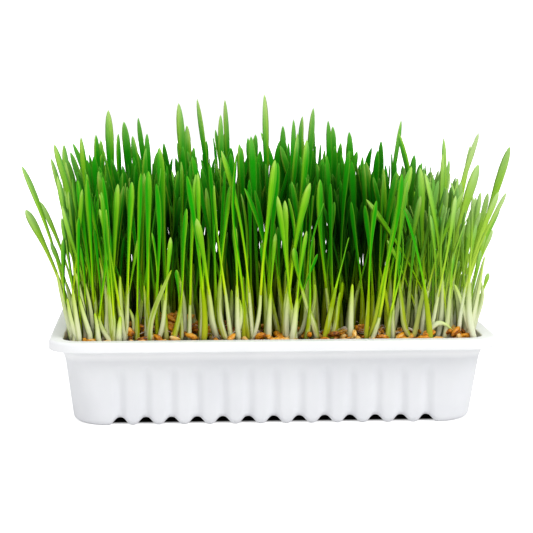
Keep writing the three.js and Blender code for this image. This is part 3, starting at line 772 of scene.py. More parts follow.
def sow():
    """The standouts, then drawn seedlings that keep clear of every other and above the tray."""
    draw = random_from(SOWING_SEED)
    seedlings = []
    for (x, row), tip, width, bend in STANDOUTS:
        foot_x = x / 1000
        seedlings.append({
            "row": row,
            "foot": np.array([foot_x, meander(foot_x, row_middle(row)), FOOT_LEVEL]),
            "tip": np.array(tip) / 1000,
            "width": width / 1000,
            "bend": bend,
            "turn": (2 * draw() - 1) * STANDOUT_TURN,
        })
    sown = [np.concatenate(part) for part in zip(*map(stretches, seedlings))]
    turns = 0
    while len(seedlings) < SOWN:
        seedling = sown_in_row(turns % ROWS, draw)
        turns += 1
        mine = stretches(seedling)
        leans_out = abs(seedling["tip"][0]) > RIM_LENGTH / 2
        if not leans_out and stands_clear(mine, sown):
            seedlings.append(seedling)
            sown = [np.concatenate(part) for part in zip(sown, mine)]
    return seedlings


seedlings = sow()


# ---------------------------------------------------------------- sprouted grains
# Wheat grains lie thick on the soil, soaked and swollen, each with a crease down one side and a blunt
# brush end. They were strewn by hand, so they lie at all angles, and their roots hold them down.

GRAIN_LENGTH = 0.0078
GRAIN_WIDTH = 0.0040
GRAIN_HEIGHT = 0.0034
GRAIN_RINGS = 7
GRAIN_SIDES = 8
GRAINS_PER_STRIP = 12
STRIP_THICKNESS = 0.0013
GRAIN_ENDS = (-0.93, 0.95)
GRAIN_TAPER = (2.3, 0.62)
GERM_END = 0.08
GRAIN_CREASE = (0.3, 6)
GRAIN_SEED = 5
GRAIN_GIRTHS = (0.85, 0.2)
BEDDED_SEED = 400
BEDDED_END_GAP = 0.001
BEDDED_PLACES = (0.2, 0.6)
BEDDED_LEVELS = (MAT_LEVEL + STRIP_THICKNESS + 0.0004, 0.0005)
BEDDED_PITCH = 0.3
BEDDED_ROLL = (0.6, 7)
TIGHT_YAW = 5
LOOSE_SEED = 77
LOOSE_END_GAP = 0.0026
LOOSE_SPACING = (0.7, 0.3)
LOOSE_PITCH = 0.7
WHOLE_TURN = 6.28

# Layers of loose grains, from the lowest: how many, how far apart, the lowest level over the mat, how much
# higher they may lie, and how high the grains have to be heaped at the spot.
LOOSE_LAYERS = [
    (680, 0.0042, 0.0010, 0.0024, 0.0),
    (420, 0.0050, 0.0032, 0.0024, 0.0),
    (240, 0.0042, 0.0052, 0.0022, 0.2),
    (160, 0.0042, 0.0074, 0.0024, 0.4),
    (60, 0.0044, 0.0098, 0.0024, 0.6),
    (24, 0.0042, 0.0118, 0.0020, 0.68),
]

HEAPS_PER_METRE = 34
HEAP_HEIGHT = 1.6
HEAP_PATTERN_AT = 0.31
HEAPS_FROM = -0.084


def grain_unit():
    """One grain along X, about its own middle, with its length and turn kept as attributes."""
    flatness, fullness = GRAIN_TAPER
    crease_depth, crease_sharpness = GRAIN_CREASE
    points, lengthwise, roundabout = [], [], []
    for u in np.linspace(*GRAIN_ENDS, GRAIN_RINGS):
        girth = (1 - abs(u) ** flatness) ** fullness * (1 + GERM_END * u)
        for step in range(GRAIN_SIDES):
            angle = 2 * math.pi * step / GRAIN_SIDES
            half = 0.5 * girth * (1 - crease_depth * max(0, math.cos(angle)) ** crease_sharpness)
            across, up = half * GRAIN_WIDTH * math.sin(angle), half * GRAIN_HEIGHT * math.cos(angle)
            points.append((0.5 * GRAIN_LENGTH * u, across, up))
            lengthwise.append(u)
            roundabout.append(step / GRAIN_SIDES)
    first_end = len(points)
    last_ring = (GRAIN_RINGS - 1) * GRAIN_SIDES
    points += [(-0.5 * GRAIN_LENGTH, 0, 0), (0.5 * GRAIN_LENGTH, 0, 0)]
    faces = [face[::-1] for face in grid_faces(GRAIN_RINGS, GRAIN_SIDES)]
    for step in range(GRAIN_SIDES):
        after = (step + 1) % GRAIN_SIDES
        faces.append([first_end, step, after])
        faces.append([first_end + 1, last_ring + after, last_ring + step])
    numbers = {"lengthwise": lengthwise + [-1, 1], "roundabout": roundabout + [0, 0]}
    return mesh_object("grain_unit", points, faces, numbers)


def bedded_grains():
    """The grains bedded in the strips between the rows, as middle and turn."""
    half = GRAIN_LENGTH / 2
    grains = []
    for strip in range(ROWS + 1):
        low = -BED_WIDTH if strip == 0 else row_middle(strip - 1) + ROW_WIDTH / 2 + STRIP_GAP
        high = BED_WIDTH if strip == ROWS else row_middle(strip) - ROW_WIDTH / 2 - STRIP_GAP
        draw = random_from(BEDDED_SEED + strip)
        reach = min(reach_at(low), reach_at(high)) - half - BEDDED_END_GAP
        for i in range(GRAINS_PER_STRIP):
            x = reach * (2 * (i + drawn(BEDDED_PLACES, draw)) / GRAINS_PER_STRIP - 1)
            turned = (draw() - 0.5) * math.pi
            across = half * abs(math.sin(turned)) + GRAIN_WIDTH / 2 * abs(math.cos(turned))
            room = max(0, (high - low) / 2 - across - STRIP_GAP)
            yaw = turned if room > 0 else turned / TIGHT_YAW
            y = (low + high) / 2 + (2 * draw() - 1) * room
            z = drawn(BEDDED_LEVELS, draw)
            pitch = (draw() - 0.5) * BEDDED_PITCH
            roll = BEDDED_ROLL[0] * math.sin(BEDDED_ROLL[1] * x)
            grains.append(((x, meander(x, y), z), (roll, pitch, yaw)))
    return grains


def heaped(x, y):
    """How much the grains are heaped up at a spot, from 0 to about 1."""
    return max(0, HEAP_HEIGHT * noise.noise(Vector((x, y, HEAP_PATTERN_AT)) * HEAPS_PER_METRE))


def loose_grains(taken):
    """
    Grains strewn over the bed in layers, a little apart and at all angles. The upper ones lie in heaps, but
    not at the left end, where the bed is flat.
    """
    draw = random_from(LOOSE_SEED)
    spots = [place[:2] for place, _ in taken]
    grains = []
    for count, spacing, lowest, spread, least_heap in LOOSE_LAYERS:
        for _ in range(count):
            nearest = 0
            while nearest < (spacing * drawn(LOOSE_SPACING, draw)) ** 2:
                y = (2 * draw() - 1) * (BED_WIDTH - EDGE_GAP)
                x = (2 * draw() - 1) * (reach_at(abs(y) + EDGE_GAP) - LOOSE_END_GAP)
                is_on_heap = heaped(x, y) >= least_heap and (x > HEAPS_FROM or least_heap == 0)
                nearest = ((np.array(spots) - (x, y)) ** 2).sum(1).min() if is_on_heap else 0
            spots.append((x, y))
            z = MAT_LEVEL + lowest + spread * draw() ** 2
            tilt = (WHOLE_TURN * draw(), LOOSE_PITCH * near_zero(draw), WHOLE_TURN * draw())
            grains.append(((x, y, z), tilt))
        spots = [(1.0, 1.0)]
    return grains


def noted(tree, *labels):
    """The values that are noted on a mesh's points, by their names."""
    nodes = {label: add_node(tree, "ShaderNodeAttribute", attribute_name=label) for label in labels}
    return {label: node.outputs["Fac"] for label, node in nodes.items()}


# The husk: golden brown, streaked along its fibres and blotched, each grain a little lighter or darker.
HUSK_STOPS = [(0.22, "240A00"), (0.35, "944E00"), (0.46, "E08A06"), (0.58, "F8AE26"), (0.76, "FFE09C")]
FIBRE_PITCH = (1.3, 14.0, 40.0)
FIBRES = 0.55
BLOTCHES = 0.45
GRAIN_VARIETY = 0.42

husk, husk_tree, husk_shader = new_material("golden_husk", roughness=0.3)
facts = noted(husk_tree, "lengthwise", "roundabout", "tint")
pitched = [times(husk_tree, fact, pitch) for fact, pitch in zip(facts.values(), FIBRE_PITCH)]
fibres = combined(husk_tree, *pitched)
grainy = times(husk_tree, speckle(husk_tree, fibres, scale=1.0, detail=5), FIBRES)
blotchy = times(husk_tree, speckle(husk_tree, object_place(husk_tree), scale=520), BLOTCHES)
own_tone = times(husk_tree, minus(husk_tree, facts["tint"], 0.5), GRAIN_VARIETY)
tone = plus(husk_tree, plus(husk_tree, grainy, blotchy), own_tone)
dress(husk_tree, husk_shader, ramp(husk_tree, tone, HUSK_STOPS), tone, distance=0.0009)

# The strewing: a tree that sets a shape on each point, turned and sized as the point says.
strew, strew_in, strew_out = new_tree("strew", ["Shape"], ["Size"])
shape = add_node(strew, "GeometryNodeObjectInfo", strew_in.outputs["Shape"]).outputs["Geometry"]
set_down = add_node(strew, "GeometryNodeInstanceOnPoints", strew_in.outputs["Geometry"], None, shape)
strew.links.new(stored(strew, "tilt", "FLOAT_VECTOR"), set_down.inputs["Rotation"])
strew.links.new(times(strew, stored(strew, "girth"), strew_in.outputs["Size"]), set_down.inputs["Scale"])
end_tree(strew, strew_in, strew_out, set_down.outputs[0])

bedded = bedded_grains()
strewn = bedded + loose_grains(bedded)
draw = random_from(GRAIN_SEED)
grains = mesh_object("sprouted_grains", [place for place, _ in strewn], [], {
    "tint": [draw() for _ in strewn],
    "girth": [drawn(GRAIN_GIRTHS, draw) for _ in strewn],
}, {"tilt": [tilt for _, tilt in strewn]})
one_grain = grain_unit()
run_tree(grains, strew, {"Shape": one_grain, "Size": 1.0, "Finish": husk})
bpy.data.objects.remove(one_grain)
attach(grains, "root")
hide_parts(*[f"grains_strip_{strip + 1}" for strip in range(ROWS + 1)])


# ---------------------------------------------------------------- rootlets
# Each seedling sends fine white roots out over the grains before they find the soil. They are tapered
# threads, arched where they leave the grain, and they hold the mat of grains together.

ROOTLETS_PER_SEEDLING = 3
ROOTLET_LENGTH = 0.0085
ROOTLET_WIDTH = 0.0008
ROOTLET_RINGS = 7
ROOTLET_TIP = 0.97
ROOTLET_TAPER = 0.75
ROOTLET_CURL = 0.45
ROOTLET_ARCH = (0.30, 2.6)
ROOTLET_DROOP = 0.35
ROOTLET_CORNERS = (0, 2.094, 4.189)
ROOTLET_SEED = 131
ROOTLET_LEVELS = (MAT_LEVEL + 0.0024, 0.0034)
ROOTLET_LIFT = 0.004
ROOTLET_TILT = (0.8, 0.25)
ROOTLET_GIRTHS = (0.6, 0.5)
NEAR_EDGE = 0.86
EDGE_SWING = 1.2


def rootlet_unit():
    """One root along X with its thick end at the origin, arched upwards and curling aside."""
    points = []
    for u in np.linspace(0, ROOTLET_TIP, ROOTLET_RINGS):
        arched = ROOTLET_ARCH[0] * math.sin(ROOTLET_ARCH[1] * u)
        middle = Vector((u, ROOTLET_CURL * u * u, arched - ROOTLET_DROOP * u * u)) * ROOTLET_LENGTH
        half = ROOTLET_WIDTH / 2 * (1 - ROOTLET_TAPER * u)
        points += [middle + Vector((0, half * math.cos(a), half * math.sin(a))) for a in ROOTLET_CORNERS]
    last = 3 * (ROOTLET_RINGS - 1)
    faces = grid_faces(ROOTLET_RINGS, 3) + [[0, 1, 2], [last + 2, last + 1, last]]
    return mesh_object("rootlet_unit", points, faces)


root_white, root_tree, root_shader = new_material("rootlet", roughness=0.55, specular_ior_level=0.3)
blush = speckle(root_tree, object_place(root_tree), scale=300)
dress(root_tree, root_shader, ramp(root_tree, blush, [(0.3, "D8A88A"), (0.5, "F0DCC8"), (0.7, "F8F2E6")]))

draw = random_from(ROOTLET_SEED)
root_places, root_tilts, root_girths = [], [], []
for seedling in seedlings:
    for _ in range(ROOTLETS_PER_SEEDLING):
        x, y, _ = seedling["foot"]
        height = drawn(ROOTLET_LEVELS, draw) + ROOTLET_LIFT * heaped(x, y)
        inward = math.atan2(-y, -x)
        is_near_edge = max(abs(x) / BED_LENGTH, abs(y) / BED_WIDTH) > NEAR_EDGE
        heading = inward + EDGE_SWING * near_zero(draw) if is_near_edge else WHOLE_TURN * draw()
        rolled, pitched = (most * near_zero(draw) for most in ROOTLET_TILT)
        root_places.append((x, y, height))
        root_tilts.append((rolled, pitched, heading))
        root_girths.append(drawn(ROOTLET_GIRTHS, draw))
rootlets = mesh_object("rootlets", root_places, [], {"girth": root_girths}, {"tilt": root_tilts})
one_rootlet = rootlet_unit()
run_tree(rootlets, strew, {"Shape": one_rootlet, "Size": 1.0, "Finish": root_white})
bpy.data.objects.remove(one_rootlet)
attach(rootlets, "root")


# ---------------------------------------------------------------- seedlings
# Each grain has sent up one seedling: a pale sheath, closed round the shoot, and the leaf that has broken
# out of its tip. The leaf leaves the sheath rolled and narrow, flattens as it rises, and ends in a blunt
# tip. Late shoots are still closed. Inside the sward, where little light falls, the green is painted darker:
# painted shade.

THICKENED = 730
THICKENING_SEED = 91
THICKENING_EDGE = 0.0025
THICKENING_REACH = (-0.121, 0.130, 0.085)
THICKENING_HABIT = {
    "late_share": 0.24,
    "late_height": 0.022,
    "reach": (0.56, 0.43),
    "fan_out": (0.14, 0.12),
    "scatter": (0.32, 0.16),
    "width": (0.0017, 0.0018),
    "bend": (-0.3, 1.1),
    "turn": 1.7,
}
FOOT_SPACING = 0.0024
AT_THE_ENDS = 0.26
END_SWATH = 0.022
THIN_SOWN_FROM = 0.050
THIN_SOWN_TO = 0.090
THIN_SOWN_SHARE = 0.68
SHEATH_WIDTH = 0.0030
LEAF_START = 0.75
LEAF_FOLD = 0.35
HOOK_ENDS = 4.5
FLAT_SIDES = [(-1, 0), (-0.45, -1), (0.45, -1), (1, 0), (0.45, 1), (-0.45, 1)]
ROUND_SIDES = [(math.cos(a), math.sin(a)) for a in np.radians(range(0, 360, 60))]

# Rings up a leaf and up a sheath: the share of its length, how wide it is there, and a leaf's thickness.
LEAF_STATIONS = [
    (0, 0.39, 0.00095),
    (0.10, 0.38, 0.00080),
    (0.22, 0.39, 0.00062),
    (0.34, 0.42, 0.00050),
    (0.46, 0.49, 0.00042),
    (0.57, 0.60, 0.00037),
    (0.68, 0.77, 0.00034),
    (0.77, 0.95, 0.00032),
    (0.86, 1.00, 0.00030),
    (0.92, 0.87, 0.00028),
    (0.96, 0.63, 0.00026),
    (0.986, 0.33, 0.00024),
]
SHEATH_STATIONS = [
    (0, 1.0),
    (0.1, 1.06),
    (0.2, 1.07),
    (0.32, 1.03),
    (0.46, 0.95),
    (0.6, 0.86),
    (0.74, 0.75),
    (0.87, 0.6),
    (0.96, 0.4),
]


def thickening(seedlings):
    """More seedlings between the others, of all heights, with their tips inside the sward's own reach."""
    draw = random_from(THICKENING_SEED)
    left, right, aside = THICKENING_REACH
    feet = np.array([seedling["foot"][:2] for seedling in seedlings])
    more = []
    while len(more) < THICKENED:
        y = (2 * draw() - 1) * (BED_WIDTH - THICKENING_EDGE)
        reach = reach_at(abs(y) + THICKENING_EDGE) - THICKENING_EDGE
        x = (2 * draw() - 1) * reach
        x = x if draw() > AT_THE_ENDS else math.copysign(reach - END_SWATH * draw(), x)
        is_along_edge = abs(y) > THIN_SOWN_FROM and abs(x) < THIN_SOWN_TO
        is_left_out = is_along_edge and draw() < THIN_SOWN_SHARE
        if is_left_out or ((feet - (x, y)) ** 2).sum(1).min() < FOOT_SPACING**2:
            continue
        tip = drawn_tip(x, y, drawn_height(x, y, THICKENING_HABIT, draw), THICKENING_HABIT, draw)
        if not left < tip[0] < right or abs(tip[1]) > aside:
            continue
        feet = np.vstack([feet, (x, y)])
        row = min(max(round(y / ROW_PITCH + (ROWS - 1) / 2), 0), ROWS - 1)
        more.append(drawn_seedling(x, y, row, tip, THICKENING_HABIT, draw))
    return more


def stem_unit(name, stations, sides):
    """A shape along one seedling: closed rings and a point on top, which attributes tell apart."""
    labels = ("rise", "side", "behind", "girth", "thickness")
    around = len(sides)
    rows = []
    for rise, girth, *thickness in stations:
        rows += [(rise, side, behind, girth, *(thickness or [0])) for side, behind in sides]
    rows.append((1, 0, 0, 0, 0))
    points = [(side / 1000, behind / 1000, rise / 100) for rise, side, behind, _, _ in rows]
    last = (len(stations) - 1) * around
    faces = grid_faces(len(stations), around) + [list(range(around))[::-1]]
    faces += [[last + step, last + (step + 1) % around, last + around] for step in range(around)]
    return mesh_object(name, points, faces, dict(zip(labels, zip(*rows))))


def stem_path(tree, share, twist):
    """Where a seedling's middle line is at a share of its height, and its own across and behind there."""
    foot = stored(tree, "foot", "FLOAT_VECTOR")
    bend = stored(tree, "bend")
    span = vectors(tree, "SUBTRACT", stored(tree, "tip", "FLOAT_VECTOR"), foot)
    across = times(tree, share, plus(tree, 1.0, times(tree, bend, minus(tree, share, 1.0))))
    slope = plus(tree, 1.0, times(tree, bend, minus(tree, times(tree, share, 2.0), 1.0)))
    so_far = vectors(tree, "MULTIPLY", span, combined(tree, across, across, share))
    middle = vectors(tree, "ADD", foot, so_far)
    near_foot = maths(tree, "MAXIMUM", minus(tree, 1.0, times(tree, share, HOOK_ENDS)), 0.0)
    hooked = scaled(tree, stored(tree, "hook", "FLOAT_VECTOR"), times(tree, near_foot, near_foot))
    half_turn = times(tree, share, math.pi)
    double = times(tree, maths(tree, "COSINE", half_turn), stored(tree, "snake"))
    wave = times(tree, maths(tree, "SINE", half_turn), plus(tree, 1.0, double))
    swayed = scaled(tree, stored(tree, "sway", "FLOAT_VECTOR"), wave)
    middle = vectors(tree, "ADD", vectors(tree, "ADD", middle, hooked), swayed)
    up = vectors(tree, "NORMALIZE", vectors(tree, "MULTIPLY", span, combined(tree, slope, slope, 1.0)))
    angle = plus(tree, stored(tree, "turn"), twist)
    heading = combined(tree, maths(tree, "COSINE", angle), maths(tree, "SINE", angle), 0.0)
    along_up = scaled(tree, up, vectors(tree, "DOT_PRODUCT", heading, up))
    wide = vectors(tree, "NORMALIZE", vectors(tree, "SUBTRACT", heading, along_up))
    return middle, wide, vectors(tree, "CROSS_PRODUCT", up, wide)


def close_stem_tree(tree, tree_in, tree_out, path, half, back):
    """
    Sets the unit shape on each foot, moves its points aside and back from the middle line, and notes how
    far each one looks out of the sward.
    """
    middle, wide, behind = path
    side = stored(tree, "side")
    position = vectors(tree, "ADD", middle, scaled(tree, wide, times(tree, side, half)))
    position = vectors(tree, "ADD", position, scaled(tree, behind, back))
    towards = vectors(tree, "ADD", scaled(tree, wide, side), scaled(tree, behind, stored(tree, "behind")))
    facing = vectors(tree, "DOT_PRODUCT", towards, stored(tree, "outward", "FLOAT_VECTOR"))
    unit = add_node(tree, "GeometryNodeObjectInfo", tree_in.outputs["Unit"]).outputs["Geometry"]
    set_up = add_node(tree, "GeometryNodeInstanceOnPoints", tree_in.outputs["Geometry"], None, unit)
    realized = add_node(tree, "GeometryNodeRealizeInstances", set_up.outputs[0])
    noted = add_node(tree, "GeometryNodeStoreNamedAttribute", realized.outputs[0], None, "facing", facing)
    placed = add_node(tree, "GeometryNodeSetPosition", noted.outputs[0], None, position)
    finished = add_node(tree, "GeometryNodeSetMaterial", placed.outputs[0], None, tree_in.outputs["Finish"])
    tree.links.new(finished.outputs[0], tree_out.inputs["Geometry"])


# Sheaths: round, widest near the foot and drawn in to a point.
sheath_tree, sheath_in, sheath_out = new_tree("raise_sheaths", ["Unit"], ["Width"])
share = times(sheath_tree, stored(sheath_tree, "rise"), stored(sheath_tree, "sheath"))
path = stem_path(sheath_tree, share, 0.0)
girth = times(sheath_tree, stored(sheath_tree, "girth"), stored(sheath_tree, "stout"))
half = times(sheath_tree, girth, sheath_in.outputs["Width"], 0.5)
back = times(sheath_tree, stored(sheath_tree, "behind"), half)
close_stem_tree(sheath_tree, sheath_in, sheath_out, path, half, back)

# Leaves: rolled where they leave the sheath, then flat with both edges folded a little forwards.
leaf_tree, leaf_in, leaf_out = new_tree("raise_leaves", ["Unit"], ["Size", "Fold"])
rise = stored(leaf_tree, "rise")
start = times(leaf_tree, stored(leaf_tree, "sheath"), LEAF_START)
share = plus(leaf_tree, start, times(leaf_tree, rise, minus(leaf_tree, 1.0, start)))
path = stem_path(leaf_tree, share, times(leaf_tree, stored(leaf_tree, "twist"), rise))
girth = times(leaf_tree, stored(leaf_tree, "girth"), stored(leaf_tree, "width"))
half = times(leaf_tree, girth, leaf_in.outputs["Size"], 0.5)
to_edge = maths(leaf_tree, "ABSOLUTE", stored(leaf_tree, "side"))
folded = times(leaf_tree, to_edge, half, leaf_in.outputs["Fold"])
back = minus(leaf_tree, times(leaf_tree, stored(leaf_tree, "behind"), stored(leaf_tree, "thickness")), folded)
close_stem_tree(leaf_tree, leaf_in, leaf_out, path, half, back)


def shading_group(name, inputs, outputs):
    """An empty shader node group that takes and gives plain numbers."""
    group = bpy.data.node_groups.new(name, "ShaderNodeTree")
    for label in inputs:
        group.interface.new_socket(label, in_out="INPUT", socket_type="NodeSocketFloat")
    for label in outputs:
        group.interface.new_socket(label, in_out="OUTPUT", socket_type="NodeSocketFloat")
    return group, group.nodes.new("NodeGroupInput").outputs, group.nodes.new("NodeGroupOutput").inputs


def place_group(tree, group, values):
    """A group placed in a material, with its inputs fed by their names."""
    made = add_node(tree, "ShaderNodeGroup", node_tree=group)
    for label, value in values.items():
        feed(tree, made.inputs[label], value)
    return made.outputs


# The fine lines that run lengthwise in sheaths and leaves. The tint sets each shoot's lines apart.
TINTS_APART = 50.0
streaks, given, put_out = shading_group("streaks", ("Across", "Along", "Tint", "Lines"), ("Streak",))
across = times(streaks, given["Across"], given["Lines"])
spot = combined(streaks, across, given["Along"], times(streaks, given["Tint"], TINTS_APART))
streaks.links.new(speckle(streaks, spot, scale=1.0, detail=3), put_out["Streak"])

# The light in the sward, painted into the colour as masks. Little falls on a shoot far inside it, or on the
# side that looks inwards: painted shade. The most falls on what rises into the open air: painted sunlight.
# Where the sward is thin, light shines through the shoots: painted light.
OPEN_AIR = (0.146, 0.176)
LOOKS_OUT = 0.3
LOOKS_IN = -0.4

of_the_point = ("Height", "Facing", "Inner", "Pale")
of_the_finish = ("Inward Share", "Hidden From", "Hidden To", "Dark From", "Dark To", "Dark Share")
of_the_finish += ("Pale Gain", "Pale Share")
light_masks = ("Unlit", "Above", "Dark", "Thin")
sward, given, put_out = shading_group("sward_light", of_the_point + of_the_finish, light_masks)
looking_in = ranged(sward, given["Facing"], LOOKS_OUT, LOOKS_IN, 0.0, given["Inward Share"])
inward = times(sward, looking_in, minus(sward, 1.0, given["Pale"]))
hidden = maths(sward, "MAXIMUM", given["Inner"], inward)
unlit = ranged(sward, hidden, given["Hidden From"], given["Hidden To"])
above = ranged(sward, given["Height"], *OPEN_AIR)
under = ranged(sward, given["Height"], given["Dark From"], given["Dark To"])
thinned = times(sward, given["Pale"], given["Pale Gain"])
thin = maths(sward, "MAXIMUM", thinned, times(sward, above, given["Pale Share"]))
dark = times(sward, unlit, under, given["Dark Share"])
for label, mask in zip(light_masks, (unlit, above, dark, thin)):
    sward.links.new(mask, put_out[label])

STREAK_LENGTH = 3.0
COLOUR_SHIFT = 0.16
MARGIN_SHARPNESS = 5.0


def stem_material(name, finish, **settings):
    """
    A finish that changes along and across the shoot: a lit and a shaded colour with painted light on one
    side, streaks lengthwise and a margin colour that on leaves is a painted rim of light, painted sunlight at
    the tips, painted light shining through where the sward thins out, and painted shade where little light
    falls.
    """
    made, tree, shader = new_material(name, **settings)
    facts = noted(tree, "rise", "side", "tint", "pale", "inner", "cast", "facing")
    lines = place_group(tree, streaks, {
        "Across": facts["side"],
        "Along": times(tree, facts["rise"], STREAK_LENGTH),
        "Tint": facts["tint"],
        "Lines": finish["lines"],
    })
    light = place_group(tree, sward, {
        "Height": add_node(tree, "ShaderNodeSeparateXYZ", object_place(tree)).outputs["Z"],
        "Facing": facts["facing"],
        "Inner": facts["inner"],
        "Pale": facts["pale"],
        **finish["light"],
    })
    streak = minus(tree, lines["Streak"], 0.5)
    own_tint = minus(tree, facts["tint"], 0.5)
    shift = maths(tree, "MULTIPLY_ADD", streak, COLOUR_SHIFT, times(tree, own_tint, COLOUR_SHIFT))
    place = plus(tree, facts["rise"], shift)
    # painted light: one side of each shoot lighter and the other darker, as its cast says
    lit = maths(tree, "MULTIPLY_ADD", times(tree, facts["side"], facts["cast"]), finish["one_sided"], 0.5)
    lit = maths(tree, "MULTIPLY_ADD", streak, finish["streakiness"], lit)
    lit = maths(tree, "MULTIPLY_ADD", own_tint, finish["variety"], lit)
    # painted shade: shoots far inside the sward or looking inwards move to the shaded colour
    lit = minus(tree, lit, times(tree, light["Unlit"], finish["shade_inside"]))
    # painted sunlight where the shoot rises into the open air
    lit = ranged(tree, maths(tree, "MULTIPLY_ADD", light["Above"], finish["sunlit_above"], lit), 0.0, 1.0)
    shade = mixed(tree, lit, ramp(tree, place, finish["shaded_tone"]), ramp(tree, place, finish["lit"]))
    margin = maths(tree, "POWER", maths(tree, "ABSOLUTE", facts["side"]), MARGIN_SHARPNESS)
    # on leaves the margin colour is a painted rim of light
    shade = mixed(tree, times(tree, margin, finish["margin_share"]), shade, finish["margin"])
    # painted light shining through where the sward is thin
    shade = mixed(tree, light["Thin"], shade, ramp(tree, place, finish["pale"]))
    # painted shade: nearly black low down where little light falls
    shade = mixed(tree, light["Dark"], shade, ramp(tree, place, finish["dark"]))
    dress(tree, shader, shade, lines["Streak"], distance=0.0002, strength=0.5)
    return made


# Sheaths: lit and shaded colours mixed by painted light; pale is painted light shining through, dark is
# painted shade.
sheath_finish = stem_material("pale_sheath", {
    "lines": 2.5,
    "lit": [(0.0, "E8E8C8"), (0.4, "E2E8B4"), (0.75, "D4E484"), (1.0, "BEE030")],
    "shaded_tone": [(0.0, "BCC02C"), (0.4, "A8BC10"), (0.75, "94B800"), (1.0, "80B800")],
    "one_sided": 0.4,
    "streakiness": 2.2,
    "variety": 2.1,
    "shade_inside": 0.9,
    "sunlit_above": 0.0,
    "margin": "7CA404",
    "margin_share": 0.6,
    "pale": [(0.0, "F4F4E0"), (0.5, "EAF2CC"), (1.0, "CEE28C")],
    "dark": [(0.0, "040600"), (0.5, "0C1C00"), (1.0, "183C00")],
    "light": {
        "Inward Share": 0.9,
        "Hidden From": 0.3,
        "Hidden To": 0.85,
        "Dark From": 0.11,
        "Dark To": 0.07,
        "Dark Share": 0.975,
        "Pale Gain": 1.1,
        "Pale Share": 0.0,
    },
}, roughness=0.45, specular_ior_level=0.06)
# Leaves: lit and shaded colours mixed by painted light; the margin is a painted rim of light, pale is painted
# light shining through, dark is painted shade.
leaf_places = (0.0, 0.14, 0.34, 0.58, 0.84, 0.97, 1.0)
leaf_lit = ("D8E42C", "CEEC18", "A4D80E", "78C010", "7CC61A", "9CD63A", "B0DE5C")
leaf_shaded = ("A8D800", "78CC00", "3CB804", "18A406", "1EA20C", "44B41E", "64C238")
leaf_finish = stem_material("green_leaf", {
    "lines": 3.0,
    "lit": list(zip(leaf_places, leaf_lit)),
    "shaded_tone": list(zip(leaf_places, leaf_shaded)),
    "one_sided": 0.8,
    "streakiness": 0.9,
    "variety": 1.4,
    "shade_inside": 1.2,
    "sunlit_above": 0.8,
    "margin": "A0D644",
    "margin_share": 0.42,
    "pale": [(0.0, "D2E474"), (0.3, "C0DE54"), (0.7, "AED64C"), (1.0, "C8E29C")],
    "dark": [(0.0, "143800"), (0.25, "002800"), (0.45, "000A00")],
    "light": {
        "Inward Share": 0.8,
        "Hidden From": 0.12,
        "Hidden To": 0.92,
        "Dark From": 0.155,
        "Dark To": 0.108,
        "Dark Share": 0.95,
        "Pale Gain": 1.0,
        "Pale Share": 0.45,
    },
}, roughness=0.6, specular_ior_level=0.02)

# Shoots that are still closed, in millimetres: where the foot and the tip are along the tray, where both
# are across it, how high the tip is, the bend, and how far the shoot arches upwards.
CLOSED_SHOOTS = [
    (-50, -53, -58, 84, 0.3, 0),
    (-71, -72, -60, 78, 0.2, 0),
    (-79, -81, -60, 66, -0.3, 0),
    (-22, -19, -60, 70, 0.2, 0),
    (14, 17, -58, 72, -0.2, 0),
    (84, 102, -64, 50, 0, 8),
    (109, 117, -63, 88, 0.4, 0),
    (112, 119, -56, 74, 0.3, 0),
    (113, 121, -48, 92, 0.3, 0),
    (113, 120, -38, 80, 0.2, 0),
    (-111, -120, -60, 86, -0.3, 0),
    (-108, -114, -66, 72, -0.3, 0),
    (-104, -111, -62, 90, -0.2, 0),
    (-100, -108, -65, 74, -0.3, 0),
    (-94, -96, -63, 92, 0.1, 0),
    (-89, -97, -66, 62, -0.3, 0),
    (-83, -85, -64, 84, -0.2, 0),
    (-103, -110, -52, 96, -0.2, 0),
    (-107, -111, -68, 78, -0.2, 0),
    (-101, -106, -60, 84, -0.3, 0),
    (-97, -99, -68, 64, -0.2, 0),
    (-90, -97, -58, 94, -0.2, 0),
    (-86, -85, -68, 62, -0.2, 0),
]
SHOOT_WIDTH = 0.003


def closed_shoots():
    """The closed shoots along the front, as seedlings of the first row."""
    return [{
        "row": 0,
        "foot": np.array([foot_x / 1000, y / 1000, FOOT_LEVEL]),
        "tip": np.array([tip_x, y, tip_z]) / 1000,
        "width": SHOOT_WIDTH,
        "bend": bend,
        "turn": 0,
        "arch": arch / 1000,
    } for foot_x, tip_x, y, tip_z, bend, arch in CLOSED_SHOOTS]


# How the drawn parts of a seedling vary. A pair is a start and what is added to it, but HOOK_SIZES are a
# large and a small hook, SWAY is along and across the tray, and leaves are painted paler, as light shining
# through, from the first number of a PALES pair, over a stretch as long as the second.
GROWTH_SEED = 33
STEADY_STANDOUTS = 0.4
CLOSED_BELOW = 0.042
STANDOUT_CLOSED_BELOW = 0.035
LEAFLESS_SHARE = 0.04
SHEATH_LENGTH = (0.017, 0.021)
LONGEST_SHEATH = 0.7
STOUTNESS = (0.78, 0.44)
HOOKED_SHARE = 0.2
HOOK_SIZES = (0.0065, 0.0022)
HOOK_ACROSS = 0.7
SWAY = (0.0030, 0.0028)
SNAKE = 3.0
TWIST = 1.5
SHOOT_TINT = (0.7, 0.3)
PALING = (0.5, 0.6)
PALEST = 0.9
PALES_ON_THE_RIGHT = (0.068, 0.064)
PALES_ON_THE_LEFT = (0.108, 0.036)
# painted shade: it starts DEEP_FROM inside the sward's edge, a little farther in at the right end, and is
# full at DEEP_AT
LIGHT_FROM_RIGHT = 0.014
DEEP_FROM = 0.009
DEEP_AT = 0.036
DEPTH_VARIETY = (0.64, 0.36)
FOOT_INSET = 0.003
TIP_INSET = 0.0007


